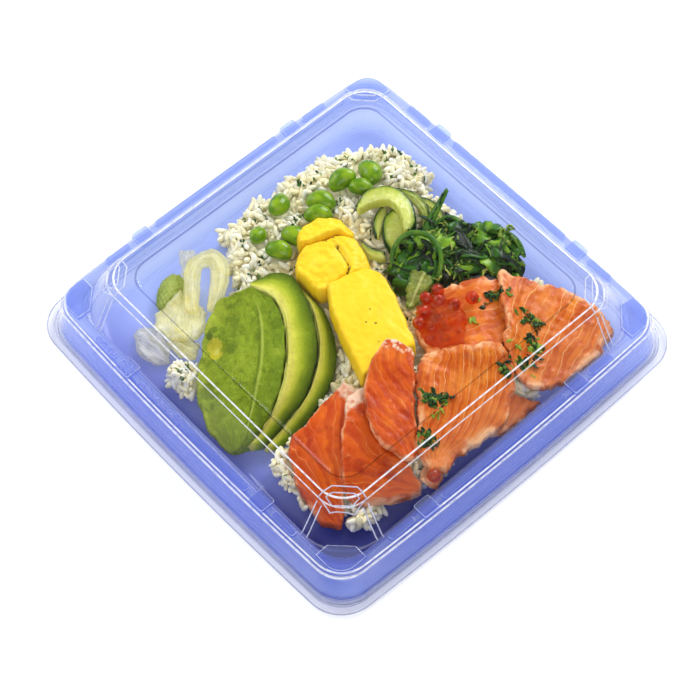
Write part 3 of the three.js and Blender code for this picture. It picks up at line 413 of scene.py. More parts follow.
def tray_material():
    """Translucent sheet: pale walls and a deeper skirt, painted highlight and shade lines at its steps and
    creases, painted light and shade by side, and folds whitened, partly as painted highlight.
    """
    shade = Shade("tray_plastic")
    fold = shade.mark("fold")
    cloudy = shade.noise(24, 3, 0.6)
    streak = shade.noise(3.0, 3, 0.6)
    fine = shade.noise(1.1, 4, 0.6)
    x, y, z = shade.position()
    height = shade.plus(z, shade.sway(cloudy, 1.2))
    level = shade.span(height, 0.0, RIM_Z + 0.5, smooth=False)
    # Tones by height, darker towards the floor. The thin pale and dark bands at the wall foot, the step and
    # the rim are painted highlight and painted shade lines.
    inner = shade.steps(level, [
        (0.0, rgb(204, 216, 255)), (0.1, rgb(184, 200, 250)), (0.15, rgb(216, 228, 255)),
        (0.4, rgb(238, 244, 255)), (0.55, rgb(226, 234, 255)), (0.6, rgb(84, 106, 204)),
        (0.64, rgb(240, 246, 255)), (0.68, rgb(112, 136, 220)), (0.74, rgb(226, 234, 255)),
        (0.83, rgb(214, 226, 255)), (0.88, rgb(96, 116, 208)), (0.93, rgb(196, 210, 252)),
        (1.0, rgb(210, 223, 255)),
    ])
    outer = shade.steps(level, [
        (0.0, rgb(150, 168, 236)), (0.06, rgb(226, 234, 255)), (0.1, rgb(104, 126, 212)),
        (0.2, rgb(176, 196, 250)), (0.45, rgb(150, 172, 240)), (0.72, rgb(126, 150, 228)),
        (0.84, rgb(164, 186, 248)), (0.9, rgb(92, 114, 204)), (1.0, rgb(184, 202, 255)),
    ])
    straight = SKIRT_HALF - SKIRT_RADIUS
    past_x, past_y = (shade.calc("MAXIMUM", shade.less(shade.abs(k), straight), 0.0) for k in (x, y))
    past = shade.plus(shade.times(past_x, past_x), shade.times(past_y, past_y))
    reach = shade.plus(shade.calc("SQRT", past), straight)
    outside = shade.span(reach, RIM_HALF - 0.6, RIM_HALF + 0.2)
    # Painted light: the far side's rim top, skirt and see-through tint are painted paler, and the near side's
    # ledge is painted darker, as the light falls on them.
    diagonal = shade.less(x, y)
    far = shade.span(diagonal, 60.0, -40.0)
    close = shade.span(diagonal, 0.0, 90.0)
    rim = shade.times(shade.span(z, RIM_Z - 1.6, RIM_Z - 0.8), far)
    inner = shade.mix(shade.times(rim, 0.8), inner, rgb(232, 238, 252))
    painted_ledge_shade = shade.times(close, shade.span(z, STEP_Z - 3.0, STEP_Z - 0.5))
    inner = shade.mix(shade.times(painted_ledge_shade, 0.6), inner, rgb(96, 114, 196))
    outer = shade.mix(shade.times(far, 0.85), outer, rgb(226, 233, 250))
    colour = shade.mix(outside, inner, outer)
    colour = shade.mix(shade.span(cloudy, 0.42, 0.68, 0.0, 0.3), colour, rgb(206, 218, 255))
    # Painted shade: low on the right and near sides the sheet is painted dark violet, tinted darker and made
    # less see-through.
    right = shade.span(shade.scaled(y, -0.5, x), 34.0, 100.0)
    near = shade.span(y, -48.0, -86.0, 0.0, 0.6)
    shade_side = shade.calc("MAXIMUM", right, shade.times(near, shade.span(x, -110.0, -20.0)))
    low = shade.span(z, 15.0, 6.0)
    painted_shade = shade.times(shade.times(low, shade_side), shade.less(1.0, outside))
    colour = shade.mix(shade.times(painted_shade, 0.85), colour, rgb(56, 60, 158))
    # Folds are whitened: partly stress whitening of the sheet, partly a painted highlight line along each
    # fold.
    patchy = shade.span(streak, 0.3, 0.65, 0.25, 0.9)
    fold_whitening_and_highlight = shade.times(shade.span(fold, 0.6, 1.0, 0.0, 0.7), patchy, clamp=True)
    colour = shade.mix(fold_whitening_and_highlight, colour, rgb(232, 238, 255))
    roughness = shade.span(cloudy, 0.3, 0.7, 0.12, 0.24)
    skin = shade.skin(colour, roughness, shade.bump(fine, 0.12, 0.15), coat=0.6, level=0.5)
    glow = shade.node("ShaderNodeBsdfTranslucent", {"Color": colour})
    body = shade.node("ShaderNodeMixShader", {0: 0.4, 1: skin, 2: glow.outputs[0]})
    tint = shade.mix(outside, rgb(238, 243, 255), shade.mix(far, rgb(186, 202, 248), rgb(236, 241, 252)))
    tint = shade.mix(painted_shade, tint, rgb(112, 120, 214))
    through = shade.node("ShaderNodeBsdfTransparent", {"Color": tint})
    seen = shade.less(0.68, shade.times(shade.calc("MAXIMUM", fold_whitening_and_highlight, painted_shade), 0.25))
    corner = shade.times(outside, shade.span(diagonal, 125.0, 160.0))
    seen = shade.less(seen, shade.times(corner, 0.4))
    mixed = shade.node("ShaderNodeMixShader", {0: seen, 1: body.outputs[0], 2: through.outputs[0]})
    return shade.done(mixed.outputs[0])


def lid_material():
    """Clear film with its folds whitened, partly as painted highlight, a painted glint on some bars, a
    painted dark line in the panel's groove, and a tint where its raised pads are thick, paler on the far side
    as painted light.
    """
    shade = Shade("lid_plastic")
    fold, pad = shade.mark("fold"), shade.mark("pad")
    ripple = shade.noise(9, 2, 0.5)
    streak = shade.noise(2.2, 3, 0.6)
    x, y, z = shade.position()
    normal = shade.bump(ripple, 0.25, 0.35)
    # Painted shade: a dark line tinted into the film along the panel's groove.
    groove_shade_line = shade.span(fold, -0.66, -0.88)
    tint = shade.mix(shade.span(z, 5.0, 1.0), rgb(254, 254, 255), rgb(244, 245, 250))
    # Painted light: pads on the far side are tinted paler.
    far = shade.span(shade.less(x, y), 60.0, -40.0)
    tint = shade.mix(pad, tint, shade.mix(far, rgb(170, 188, 246), rgb(206, 218, 250)))
    tint = shade.mix(groove_shade_line, tint, rgb(204, 204, 222))
    clear = shade.node("ShaderNodeBsdfTransparent", {"Color": tint})
    gloss = shade.node("ShaderNodeBsdfGlossy", {"Roughness": 0.045, "Normal": normal})
    gloss.inputs["Color"].default_value = rgb(250, 251, 255)
    plateau = shade.span(z, PLATEAU_Z - 1.3, PLATEAU_Z - 0.3, 1.0, 0.4)
    calm = shade.times(shade.span(fold, -0.02, -0.12, 1.0, 0.0), plateau)
    film = shade.node("ShaderNodeMixShader", {
        0: shade.times(shade.sheen(0.008, normal), calm), 1: clear.outputs[0], 2: gloss.outputs[0],
    })
    edge_colour = shade.mix(pad, rgb(244, 246, 255), rgb(214, 224, 255))
    edge_colour = shade.mix(shade.span(z, 3.4, 2.0), edge_colour, rgb(168, 174, 204))
    # Painted highlight: folds are whitened, partly as stress whitening and partly as a painted highlight
    # line.
    highlight_shader = shade.skin(edge_colour, 0.25, coat=0.5, level=0.5)
    patchy = shade.span(streak, 0.25, 0.6, 0.45, 0.95)
    painted_highlight_and_whitening = shade.times(shade.span(fold, 0.3, 0.95), patchy, clamp=True)
    # Painted highlight: a glinting patch on the bars of the -Y side, and a faint whitening over every pad.
    glint_patch = shade.times(shade.span(y, -60.0, -78.0), shade.span(x, 10.0, -20.0))
    glint_patch = shade.times(glint_patch, shade.span(x, -70.0, -62.0))
    glint_grain = shade.span(shade.noise(0.4, 3, 0.7), 0.4, 0.66, 0.0, 0.3)
    pad_glint = shade.times(pad, shade.scaled(glint_patch, glint_grain, 0.12))
    painted_highlight_and_whitening = shade.calc("MAXIMUM", painted_highlight_and_whitening, pad_glint)
    mixed = shade.node("ShaderNodeMixShader", {0: painted_highlight_and_whitening, 1: film.outputs[0], 2: highlight_shader})
    return shade.done(mixed.outputs[0])


def square_ring(half, radius, z, bow=0.0, side_steps=26, corner_steps=16):
    """A square loop with round corners, whose sides bow out by bow at their middles."""
    straight = half - radius
    along = np.linspace(-1, 1, side_steps + 1)
    turn = np.linspace(0, math.pi / 2, corner_steps + 1)[1:-1]
    x = np.concatenate([half + bow * (1 - along**2), straight + radius * np.cos(turn)])
    y = np.concatenate([along * straight, straight + radius * np.sin(turn)])
    ring = []
    for _ in range(4):
        ring.append(np.stack([x, y, np.full_like(x, z)], -1))
        x, y = -y, x
    return np.concatenate(ring)


# The bend, in radians, from which a fold counts in full.
FULL_BEND = 0.8


def filleted(section, reach):
    """A section's rows with each corner rounded over reach, and how much each row belongs to a fold."""
    rows = [np.array([r["half"], r["radius"], r["z"], r.get("bow", 0.0)], float) for r in section]
    out, fold = [rows[0]], [0.0]
    weights = [r.get("fold", 1.0) for r in section[1:]]
    for before, here, after, weight in zip(rows, rows[1:], rows[2:], weights):
        back, ahead = (np.hypot(*(other - here)[[0, 2]]) for other in (before, after))
        start = here + (before - here) * min(reach / max(back, 1e-6), 0.45)
        end = here + (after - here) * min(reach / max(ahead, 1e-6), 0.45)
        ways = [(here - before)[[0, 2]] / max(back, 1e-6), (after - here)[[0, 2]] / max(ahead, 1e-6)]
        bend = math.acos(float(np.clip(ways[0] @ ways[1], -1, 1)))
        for step, share in ((0.0, 0.0), (0.25, 0.8), (0.5, 1.0), (0.75, 0.8), (1.0, 0.0)):
            curve = start * (1 - step) ** 2 + here * 2 * step * (1 - step) + end * step**2
            out.append(curve)
            fold.append(share * min(bend / FULL_BEND, 1.0) * weight)
    out.append(rows[-1])
    fold.append(0.0)
    return out, fold


# How far a sheet's flat middle starts inside its section, as a row of half, radius, height and bow.
FLAT_BAND = np.array([2.5, 0, 0, 0])


def band(low, high, count):
    """The faces between two loops of count corners that start at low and at high."""
    turn = [(k, (k + 1) % count) for k in range(count)]
    return [[low + k, low + n, high + n, high + k] for k, n in turn]


def formed_sheet(section, reach):
    """Corners, faces and folds of a thin formed sheet from a section of square loops."""
    rows, fold = filleted(section, reach)
    rows = [rows[0] - FLAT_BAND, *rows, rows[-1] - FLAT_BAND]
    fold = [0.0, *fold, 0.0]
    rings = [square_ring(half, radius, z, bow) for half, radius, z, bow in rows]
    count = len(rings[0])
    corners = np.concatenate(rings)
    faces = []
    for row in range(len(rings) - 1):
        faces += band(row * count, (row + 1) * count, count)
    marks = np.repeat(fold, count)
    last = (len(rings) - 1) * count
    faces += [list(range(count))[::-1], [last + j for j in range(count)]]
    return corners, turned_out(corners, faces), marks


# A row's fold weight sets how strongly its fold is whitened, partly as painted highlight; below zero it
# paints a dark line.
TRAY_SECTION = [
    {"half": FLOOR_HALF, "radius": 13, "z": 0},
    {"half": WALL_FOOT_HALF + SHEET, "radius": 13, "z": 1.4},
    {"half": STEP_HALF + SHEET, "radius": RIM_RADIUS, "z": STEP_Z - SHEET * 1.1},
    {"half": STEP_HALF + 1.3 + SHEET, "radius": RIM_RADIUS, "z": STEP_Z - 0.4},
    {"half": WALL_TOP_HALF + SHEET, "radius": RIM_RADIUS, "z": RIM_Z - SHEET - 0.8},
    {"half": WALL_TOP_HALF + 1.6, "radius": RIM_RADIUS, "z": RIM_Z - SHEET, "bow": 0.6},
    {"half": RIM_HALF - 0.4, "radius": RIM_RADIUS, "z": RIM_Z - SHEET, "bow": BOW},
    {"half": RIM_HALF + 0.1, "radius": RIM_RADIUS, "z": RIM_Z - SHEET - 0.6, "bow": BOW},
    {"half": SKIRT_HALF - SHEET, "radius": SKIRT_RADIUS, "z": 1.8, "bow": BOW},
    {"half": SKIRT_HALF - SHEET, "radius": SKIRT_RADIUS, "z": 0.6, "bow": BOW},
    {"half": LIP_HALF, "radius": SKIRT_RADIUS, "z": 0.6, "bow": BOW},
    {"half": LIP_HALF, "radius": SKIRT_RADIUS, "z": 1.3, "bow": BOW},
    {"half": SKIRT_HALF, "radius": SKIRT_RADIUS, "z": 1.9, "bow": BOW},
    {"half": RIM_HALF + 0.9, "radius": RIM_RADIUS, "z": RIM_Z - 0.8, "bow": BOW},
    {"half": RIM_HALF, "radius": RIM_RADIUS, "z": RIM_Z, "bow": BOW},
    {"half": WALL_TOP_HALF + 1.1, "radius": RIM_RADIUS, "z": RIM_Z, "bow": 0.6, "fold": 0.75},
    {"half": WALL_TOP_HALF, "radius": RIM_RADIUS, "z": RIM_Z - 0.8, "fold": 0.75},
    {"half": STEP_HALF + 1.3, "radius": RIM_RADIUS, "z": STEP_Z + 0.4},
    {"half": STEP_HALF, "radius": RIM_RADIUS, "z": STEP_Z - 0.2},
    {"half": WALL_FOOT_HALF, "radius": 13, "z": WALL_FOOT_Z},
    {"half": FLOOR_HALF, "radius": 13, "z": FLOOR_Z},
]

LID_SKIRT = SKIRT_HALF + GAP + 0.3
LID_SECTION = [
    {"half": PANEL_HALF - 0.8, "radius": 9, "z": PLATEAU_Z - FILM - 0.5},
    {"half": PANEL_HALF, "radius": 9.5, "z": PLATEAU_Z - FILM, "fold": 0.0},
    {"half": DOME_EDGE_HALF - 0.3, "radius": DOME_EDGE_RADIUS, "z": PLATEAU_Z - FILM, "fold": 0.0},
    {"half": DOME_EDGE_HALF + 1.7, "radius": DOME_EDGE_RADIUS, "z": PLATEAU_Z - FILM - 2.2, "fold": 0.0},
    {"half": DOME_FOOT_HALF - FILM, "radius": DOME_FOOT_RADIUS, "z": RIM_Z + GAP + 0.3, "fold": 0.2},
    {"half": WALL_TOP_HALF + 1.2, "radius": RIM_RADIUS, "z": RIM_Z + GAP, "bow": 0.6},
    {"half": RIM_HALF + 0.3, "radius": RIM_RADIUS, "z": RIM_Z + GAP, "bow": BOW},
    {"half": RIM_HALF + 1.3, "radius": RIM_RADIUS, "z": RIM_Z - 0.6, "bow": BOW},
    {"half": LID_SKIRT, "radius": SKIRT_RADIUS, "z": 2.2, "bow": BOW},
    {"half": LIP_HALF + GAP + 0.3, "radius": SKIRT_RADIUS, "z": 1.6, "bow": BOW},
    {"half": LIP_HALF + GAP + 0.3, "radius": SKIRT_RADIUS, "z": 0.8, "bow": BOW},
    {"half": FLANGE_HALF, "radius": SKIRT_RADIUS + 1, "z": 0.8, "bow": BOW},
    {"half": FLANGE_HALF, "radius": SKIRT_RADIUS + 1, "z": 0.8 + FILM, "bow": BOW},
    {"half": LIP_HALF + 1.5, "radius": SKIRT_RADIUS, "z": 0.8 + FILM, "bow": BOW},
    {"half": LID_SKIRT + FILM + 0.2, "radius": SKIRT_RADIUS, "z": 2.6, "bow": BOW},
    {"half": RIM_HALF + 1.3 + FILM, "radius": RIM_RADIUS, "z": RIM_Z - 0.2, "bow": BOW},
    {"half": RIM_HALF + 0.4, "radius": RIM_RADIUS, "z": RIM_Z + GAP + FILM, "bow": BOW},
    {"half": WALL_TOP_HALF + 1.3, "radius": RIM_RADIUS, "z": RIM_Z + GAP + FILM, "bow": 0.6},
    {"half": DOME_FOOT_HALF, "radius": DOME_FOOT_RADIUS, "z": RIM_Z + GAP + FILM + 0.3, "fold": 0.5},
    {"half": DOME_EDGE_HALF + 2.1, "radius": DOME_EDGE_RADIUS, "z": PLATEAU_Z - 2.2, "fold": 2.6},
    {"half": DOME_EDGE_HALF, "radius": DOME_EDGE_RADIUS, "z": PLATEAU_Z, "fold": 1.1},
    {"half": PANEL_HALF, "radius": 9.5, "z": PLATEAU_Z, "fold": -2.2},
    {"half": PANEL_HALF - 0.8, "radius": 9, "z": PLATEAU_Z - 0.5},
]


def turned(points, quarter):
    """Points turned about the tray's middle by some quarter turns."""
    points = np.asarray(points, float)
    for _ in range(quarter):
        points = np.stack([-points[:, 1], points[:, 0], points[:, 2]], -1)
    return points


def block(outline, foot, top, bevel):
    """A low raised pad with soft edges over a plan outline, open underneath."""
    outline = np.asarray(outline, float)
    middle = outline.mean(0)
    reach = np.linalg.norm(outline - middle, axis=1).mean()
    shape = [
        (foot, 0.0), (top - bevel, 0.15), (top - 0.3 * bevel, 0.15 + 0.35 * bevel),
        (top, 0.15 + bevel), (top, 0.5 + bevel),
    ]
    rings = [
        np.column_stack([middle + (outline - middle) * (1 - pull / reach), np.full(len(outline), z)])
        for z, pull in shape
    ]
    count = len(outline)
    faces = []
    for row in range(len(rings) - 1):
        faces += band(row * count, (row + 1) * count, count)
    faces.append([(len(rings) - 1) * count + j for j in range(count)])
    # Fold marks paint a thin highlight line along each pad's upper bevel.
    fold = np.repeat([0.0, 0.15, 0.9, 0.25, 0.0], count)
    return np.concatenate(rings), faces, fold, np.ones(len(fold))


def rounded_outline(x, y, width, length, radius=1.0, steps=4):
    """The plan outline of a rectangle with round corners."""
    turn = np.linspace(0, math.pi / 2, steps + 1)
    points = []
    for k, (sx, sy) in enumerate(((1, 1), (-1, 1), (-1, -1), (1, -1))):
        cx, cy = x + sx * (width / 2 - radius), y + sy * (length / 2 - radius)
        angle = turn + k * math.pi / 2
        points += [(cx + radius * math.cos(a), cy + radius * math.sin(a)) for a in angle]
    return points


def tube_faces(count, closed=False):
    """The faces of a tube through some rings of SIDES corners, with ends unless it is closed."""
    faces = []
    for i in range(count if closed else count - 1):
        faces += band(SIDES * i, SIDES * ((i + 1) % count), SIDES)
    if not closed:
        faces += [list(range(SIDES))[::-1], [SIDES * (count - 1) + k for k in range(SIDES)]]
    return faces


def bead(points, width, closed=False):
    """A thin half-round ridge along a line of points."""
    p = np.asarray(points, float)
    if closed:
        ahead, back = np.roll(p, -1, 0), np.roll(p, 1, 0)
    else:
        ahead, back = np.vstack([p[1:], p[-1:]]), np.vstack([p[:1], p[:-1]])
    way = ahead - back
    way /= np.linalg.norm(way, axis=1)[:, None]
    side = np.cross(way, (0, 0, 1))
    side /= np.maximum(np.linalg.norm(side, axis=1), 1e-6)[:, None]
    out = np.cross(side, way)
    angles = np.linspace(0, 2 * math.pi, SIDES + 1)[:-1]
    rings = [p + side * (0.5 * width * math.cos(a)) + out * (0.5 * width * math.sin(a)) for a in angles]
    corners = np.stack(rings, 1).reshape(-1, 3)
    return corners, turned_out(corners, tube_faces(len(p), closed))


def resampled(points, spacing, closed=False):
    """Points at an even spacing along straight lines between the given ones."""
    points = [np.asarray(p, float) for p in points]
    ends = list(zip(points, points[1:])) + ([(points[-1], points[0])] if closed else [])
    out = []
    for a, b in ends:
        steps = max(1, int(np.linalg.norm(b - a) / spacing))
        out += [a + (b - a) * k / steps for k in range(steps)]
    if not closed:
        out.append(points[-1])
    return np.array(out)


def build_plastics():
    corners, faces, fold = formed_sheet(TRAY_SECTION, 0.5)
    make_piece("tray_sheet", corners, faces, tray_material(), ["tray"], {"fold": fold})

    lid_tree = tree_of("lid")
    corners, faces, fold = formed_sheet(LID_SECTION, 0.55)
    reach = np.abs(corners[:, :2]).max(1)
    # The groove round the panel is marked for a painted dark line.
    groove = (abs(reach - PANEL_HALF + 0.5) < 0.9) & (corners[:, 2] > PLATEAU_Z - 0.6)
    fold = np.where(groove, np.minimum(fold, -0.35), fold)
    parts = [(corners, faces, fold, np.zeros(len(fold)))]

    def on_lid(points, lift, closed=False):
        line = resampled(points, 1.2, closed)
        z = filled(heights(lid_tree, line[:, 0], line[:, 1])[None])[0]
        return np.column_stack([line, z + lift])

    foot = RIM_Z + GAP + FILM - 0.15
    top = RIM_Z + GAP + FILM
    middle = RIM_HALF - 1.6
    lugs = [rounded_outline(middle, y, LUG_SIZE - 0.6, LUG_SIZE) for y in (-LUG_AT, LUG_AT)]
    bars = [rounded_outline(middle + 0.9, 0, 2.8, 66, 1.2)]
    bars += [rounded_outline(middle + 0.3, y, 2.8, 13, 1.2) for y in (-53, 53)]
    reach, near = RIM_HALF - 1.2, 70.5
    arc = [(reach - 8 + 8 * math.cos(a), reach - 8 + 8 * math.sin(a)) for a in np.linspace(0, math.pi / 2, 9)]
    corner_pad = [(near, reach), (near, 78.4), (78.4, near), (reach, near), *arc]
    outer = [(59.9, 72.6), (59.9, 67.6), (66.4, 60.8), (72.6, 60.0), (72.9, 66.6), (66.6, 73.2)]
    inner = [(62.2, 71.2), (62.6, 68.7), (68.2, 63.0), (71.0, 62.4), (71.3, 66.2), (66.2, 71.4)]
    shapes = [block(lug, foot, top + LUG_RISE, 0.5) for lug in lugs]
    shapes += [block(bar, foot, top + BAR_RISE, 0.4) for bar in bars]
    shapes.append(block(corner_pad, foot, top + LUG_RISE, 0.5))
    lines = [on_lid(outer, 0.05, True), on_lid(inner, 0.05, True)]
    for from_, to in (((60.2, 73.6), (60.4, 82.4)), ((62.6, 73.6), (63.0, 82.0))):
        lines.append(on_lid([from_, to], 0.05))
        lines.append(on_lid([from_[::-1], to[::-1]], 0.05))
    for line_points, closed in ((lines[0], True), (lines[1], True), *((one, False) for one in lines[2:])):
        # The beads are marked for a painted highlight along them.
        ridge, ridge_faces = bead(line_points, 0.55, closed)
        shapes.append((ridge, ridge_faces, np.full(len(ridge), 0.7), np.full(len(ridge), 0.4)))
    for quarter in range(4):
        for points, shape_faces, marks, pads in shapes:
            parts.append((turned(points, quarter), shape_faces, marks, pads))

    start, all_faces = 0, []
    for points, shape_faces, _, _ in parts:
        all_faces += [[k + start for k in face] for face in shape_faces]
        start += len(points)
    corners = np.concatenate([points for points, _, _, _ in parts])
    fold = np.concatenate([marks for _, _, marks, _ in parts])
    pad = np.concatenate([pads for _, _, _, pads in parts])
    corners[:, 2] = np.minimum(corners[:, 2], PLATEAU_Z + 0.3)
    marks = {"fold": fold, "pad": pad}
    make_piece("lid_sheet", corners, all_faces, lid_material(), ["lid"], marks)


# ---------------------------------------------------------------- slices


def edge_packed(count):
    """Places from -1 to 1, closer together towards the ends."""
    x = np.linspace(-1, 1, count)
    return 0.55 * x + 0.45 * np.sin(0.5 * math.pi * x)


def round_square(u, v, radius):
    """Pulls the corners of the square from -1 to 1 in to a round of the radius."""
    most = np.maximum(abs(u), abs(v))
    least = np.minimum(abs(u), abs(v))
    k = np.divide(least, most, out=np.zeros_like(most), where=most > 0)
    corner = 1 - radius
    a = 1 + k * k
    b = corner * (1 + k)
    pull = (b + np.sqrt(np.maximum(b * b - a * (2 * corner**2 - radius**2), 0))) / a
    pull = np.where(k > corner, pull, 1.0)
    return u * pull, v * pull


def inside_tray(x, y, z, margin):
    """Places moved in from the tray's wall, where they would be less than margin from it."""
    rise = np.clip((z - WALL_FOOT_Z) / (STEP_Z - 2), 0, 1)
    half = WALL_FOOT_HALF + (STEP_HALF - WALL_FOOT_HALF) * rise - margin
    corner = half - RIM_RADIUS
    ax, ay = abs(x) - corner, abs(y) - corner
    length = np.maximum(np.hypot(ax, ay), 1e-6)
    pull = np.where((ax > 0) & (ay > 0) & (length > RIM_RADIUS), RIM_RADIUS / length, 1.0)
    x_in, y_in = np.minimum(half, corner + ax * pull), np.minimum(half, corner + ay * pull)
    return np.sign(x) * x_in, np.sign(y) * y_in


def slab(
    node, material, left, right, slot, form, corner=0.12, edge=1.8, square=2.4, size=(64, 44), ragged=0.5,
    ragged_size=7.0, settle=4, seed=1, drop=0.0,
):
    """
    A soft slice between two rails with a rounded edge. Its upper and lower faces follow those of its CAD
    node. form gives the height of its unevenness, from its places along, across and in from its edge.
    """
    tree = tree_of(node)
    left, right = curve_table(left), curve_table(right)

    def plan(u, v):
        ru, rv = round_square(u, v, corner)
        s, t = (ru + 1) / 2, (rv + 1) / 2
        a, b = on_curve(left, s), on_curve(right, s)
        p = a + (b - a) * t[..., None]
        swing = np.maximum(abs(u), abs(v)) ** 4 * ragged
        x = p[..., 0] + swing * rough(p[..., 0], p[..., 1], ragged_size, seed)
        y = p[..., 1] + swing * rough(p[..., 0], p[..., 1], ragged_size, seed + 9)
        x, y = inside_tray(x, y, p[..., 2], 0.6)
        return s, t, x, y

    u, v = np.meshgrid(edge_packed(size[0]), edge_packed(size[1]), indexing="ij")
    s, t, x, y = plan(u, v)
    line = np.linspace(-1, 1, 110)
    one = np.ones_like(line)
    border_u = np.concatenate([line, one, -line, -one])
    border_v = np.concatenate([-one, line, one, -line])
    _, _, bx, by = plan(border_u, border_v)
    away = np.min(np.hypot(x.reshape(-1, 1) - bx, y.reshape(-1, 1) - by), 1).reshape(x.shape)
    rim = (abs(u) > 0.9999) | (abs(v) > 0.9999)
    away = np.where(rim, 0, away)

    inner_s, inner_t = np.clip(s, 0.06, 0.94), np.clip(t, 0.1, 0.9)
    p = on_curve(left, inner_s)
    p = p + (on_curve(right, inner_s) - p) * inner_t[..., None]
    over, under = heights(tree, p[..., 0], p[..., 1]), heights(tree, p[..., 0], p[..., 1], False)
    over, under = smoothed(filled(over), settle), smoothed(filled(under), 2)
    over = np.maximum(over, under + 0.8)
    swell = np.clip(1 - (1 - np.minimum(away / edge, 1)) ** square, 0, 1) ** (1 / square)
    over = over + form(s, t, away, x, y) * swell
    middle = under + 0.4 * (over - under)
    top = middle + (over - middle) * swell - drop
    low = middle - (middle - under) * swell - drop

    rows, columns = size
    index = np.arange(rows * columns).reshape(rows, columns)
    lower = np.where(rim, index, -1)
    lower[~rim] = rows * columns + np.arange(int((~rim).sum()))

    def both(upper, under):
        return np.concatenate([np.stack(upper, -1).reshape(-1, 3), np.stack(under, -1)[~rim]])

    corners = both([x, y, top], [x, y, low])
    marks = both([s, t, away], [s, t, np.zeros_like(away)])
    i, j = rows // 2, columns // 2
    way_s = corners[index[i + 1, j]] - corners[index[i, j]]
    way_t = corners[index[i, j + 1]] - corners[index[i, j]]
    up = way_s[0] * way_t[1] - way_s[1] * way_t[0] > 0
    faces = []
    for grid, flip in ((index, not up), (lower, up)):
        quads = np.stack([grid[:-1, :-1], grid[1:, :-1], grid[1:, 1:], grid[:-1, 1:]], -1).reshape(-1, 4)
        faces += (quads[:, ::-1] if flip else quads).tolist()
    return make_piece(f"{node}_flesh", corners, faces, material, [node], {"rails": marks})


# ---------------------------------------------------------------- omelette


def omelette_material(name, side_tint, side_share, specks):
    """Egg with pores: its sides take a tint by a share, and specks are brown spots on plan."""
    shade = Shade(name)
    cloudy = shade.noise(7, 4, 0.6)
    fine = shade.noise(0.9, 3, 0.6)
    pores = shade.cells(2.3)
    tones = [(0.25, rgb(250, 202, 18)), (0.5, rgb(254, 216, 34)), (0.8, rgb(255, 228, 70))]
    colour = shade.ramp(cloudy, tones)
    _, _, away = shade.rails()
    side = shade.span(away, 2.2, 0.3)
    colour = shade.mix(shade.times(side, side_share), colour, side_tint)
    pit = shade.times(shade.span(pores, 0.14, 0.05), shade.span(shade.noise(11, 2), 0.5, 0.62))
    colour = shade.mix(shade.times(pit, 0.55), colour, rgb(214, 150, 20))
    for x, y, radius in specks:
        spot = shade.near(x, y, radius, 0.4, 0.25)
        colour = shade.mix(shade.times(spot, 0.85), colour, rgb(120, 84, 10))
    height = shade.weighted((fine, 0.5), (pit, -0.8), (shade.noise(3.5, 3), 0.8))
    roughness = shade.span(fine, 0.3, 0.7, 0.38, 0.55)
    skin = shade.skin(
        colour, roughness, shade.bump(height, 0.5, 0.4), soft=0.25, radius=(1.0, 0.6, 0.15), depth=1.2
    )
    return shade.done(skin)


OMELETTE = {
    "omelette_front": {
        "left": [[-14, -3, 24.5], [0, -11.6, 24.8], [17, -17.8, 24.8], [28.5, -22.2, 24.8]],
        "right": [[-9.5, 14.5, 24.5], [-3, 16.6, 25], [12, 12.6, 25.3], [31.5, 4.4, 25]],
    },
    "omelette_rear": {
        "left": [[-41, 4, 22], [-42.5, 11, 22], [-39.5, 19.3, 22.5], [-34, 22.6, 23], [-25.5, 22.5, 23]],
        "right": [
            [-35.5, 2.3, 23.5], [-32.6, 8.2, 24], [-30.9, 13.2, 24.5], [-28.6, 17.4, 24], [-23.5, 20.2, 23.5],
        ],
    },
    "omelette_middle": {
        "left": [[-35.8, 3, 22], [-29.8, -5.6, 22], [-23, -7.2, 22], [-13, -6.4, 22]],
        "right": [[-28, 18.5, 23], [-22.5, 20.8, 23], [-15.5, 19.5, 22.7], [-7.5, 16.5, 22.5]],
    },
}


OMELETTE_SLIT = [
    (-24.1, 12.6), (-21.3, 12.2), (-18.6, 11.4), (-16.0, 10.7), (-13.9, 9.4), (-12.3, 6.9), (-12.6, 2.3),
]


def off_line(x, y, points):
    """How far places on plan are from a line of points, and on which side of it (above 0 is its left)."""
    nearest, side = np.full(np.shape(x), np.inf), np.zeros(np.shape(x))
    for (ax, ay), (bx, by) in zip(points, points[1:]):
        dx, dy = bx - ax, by - ay
        k = np.clip(((x - ax) * dx + (y - ay) * dy) / (dx * dx + dy * dy), 0, 1)
        away = np.hypot(x - ax - k * dx, y - ay - k * dy)
        turn = dx * (y - ay) - dy * (x - ax)
        side = np.where(away < nearest, np.sign(turn), side)
        nearest = np.minimum(nearest, away)
    return nearest, side


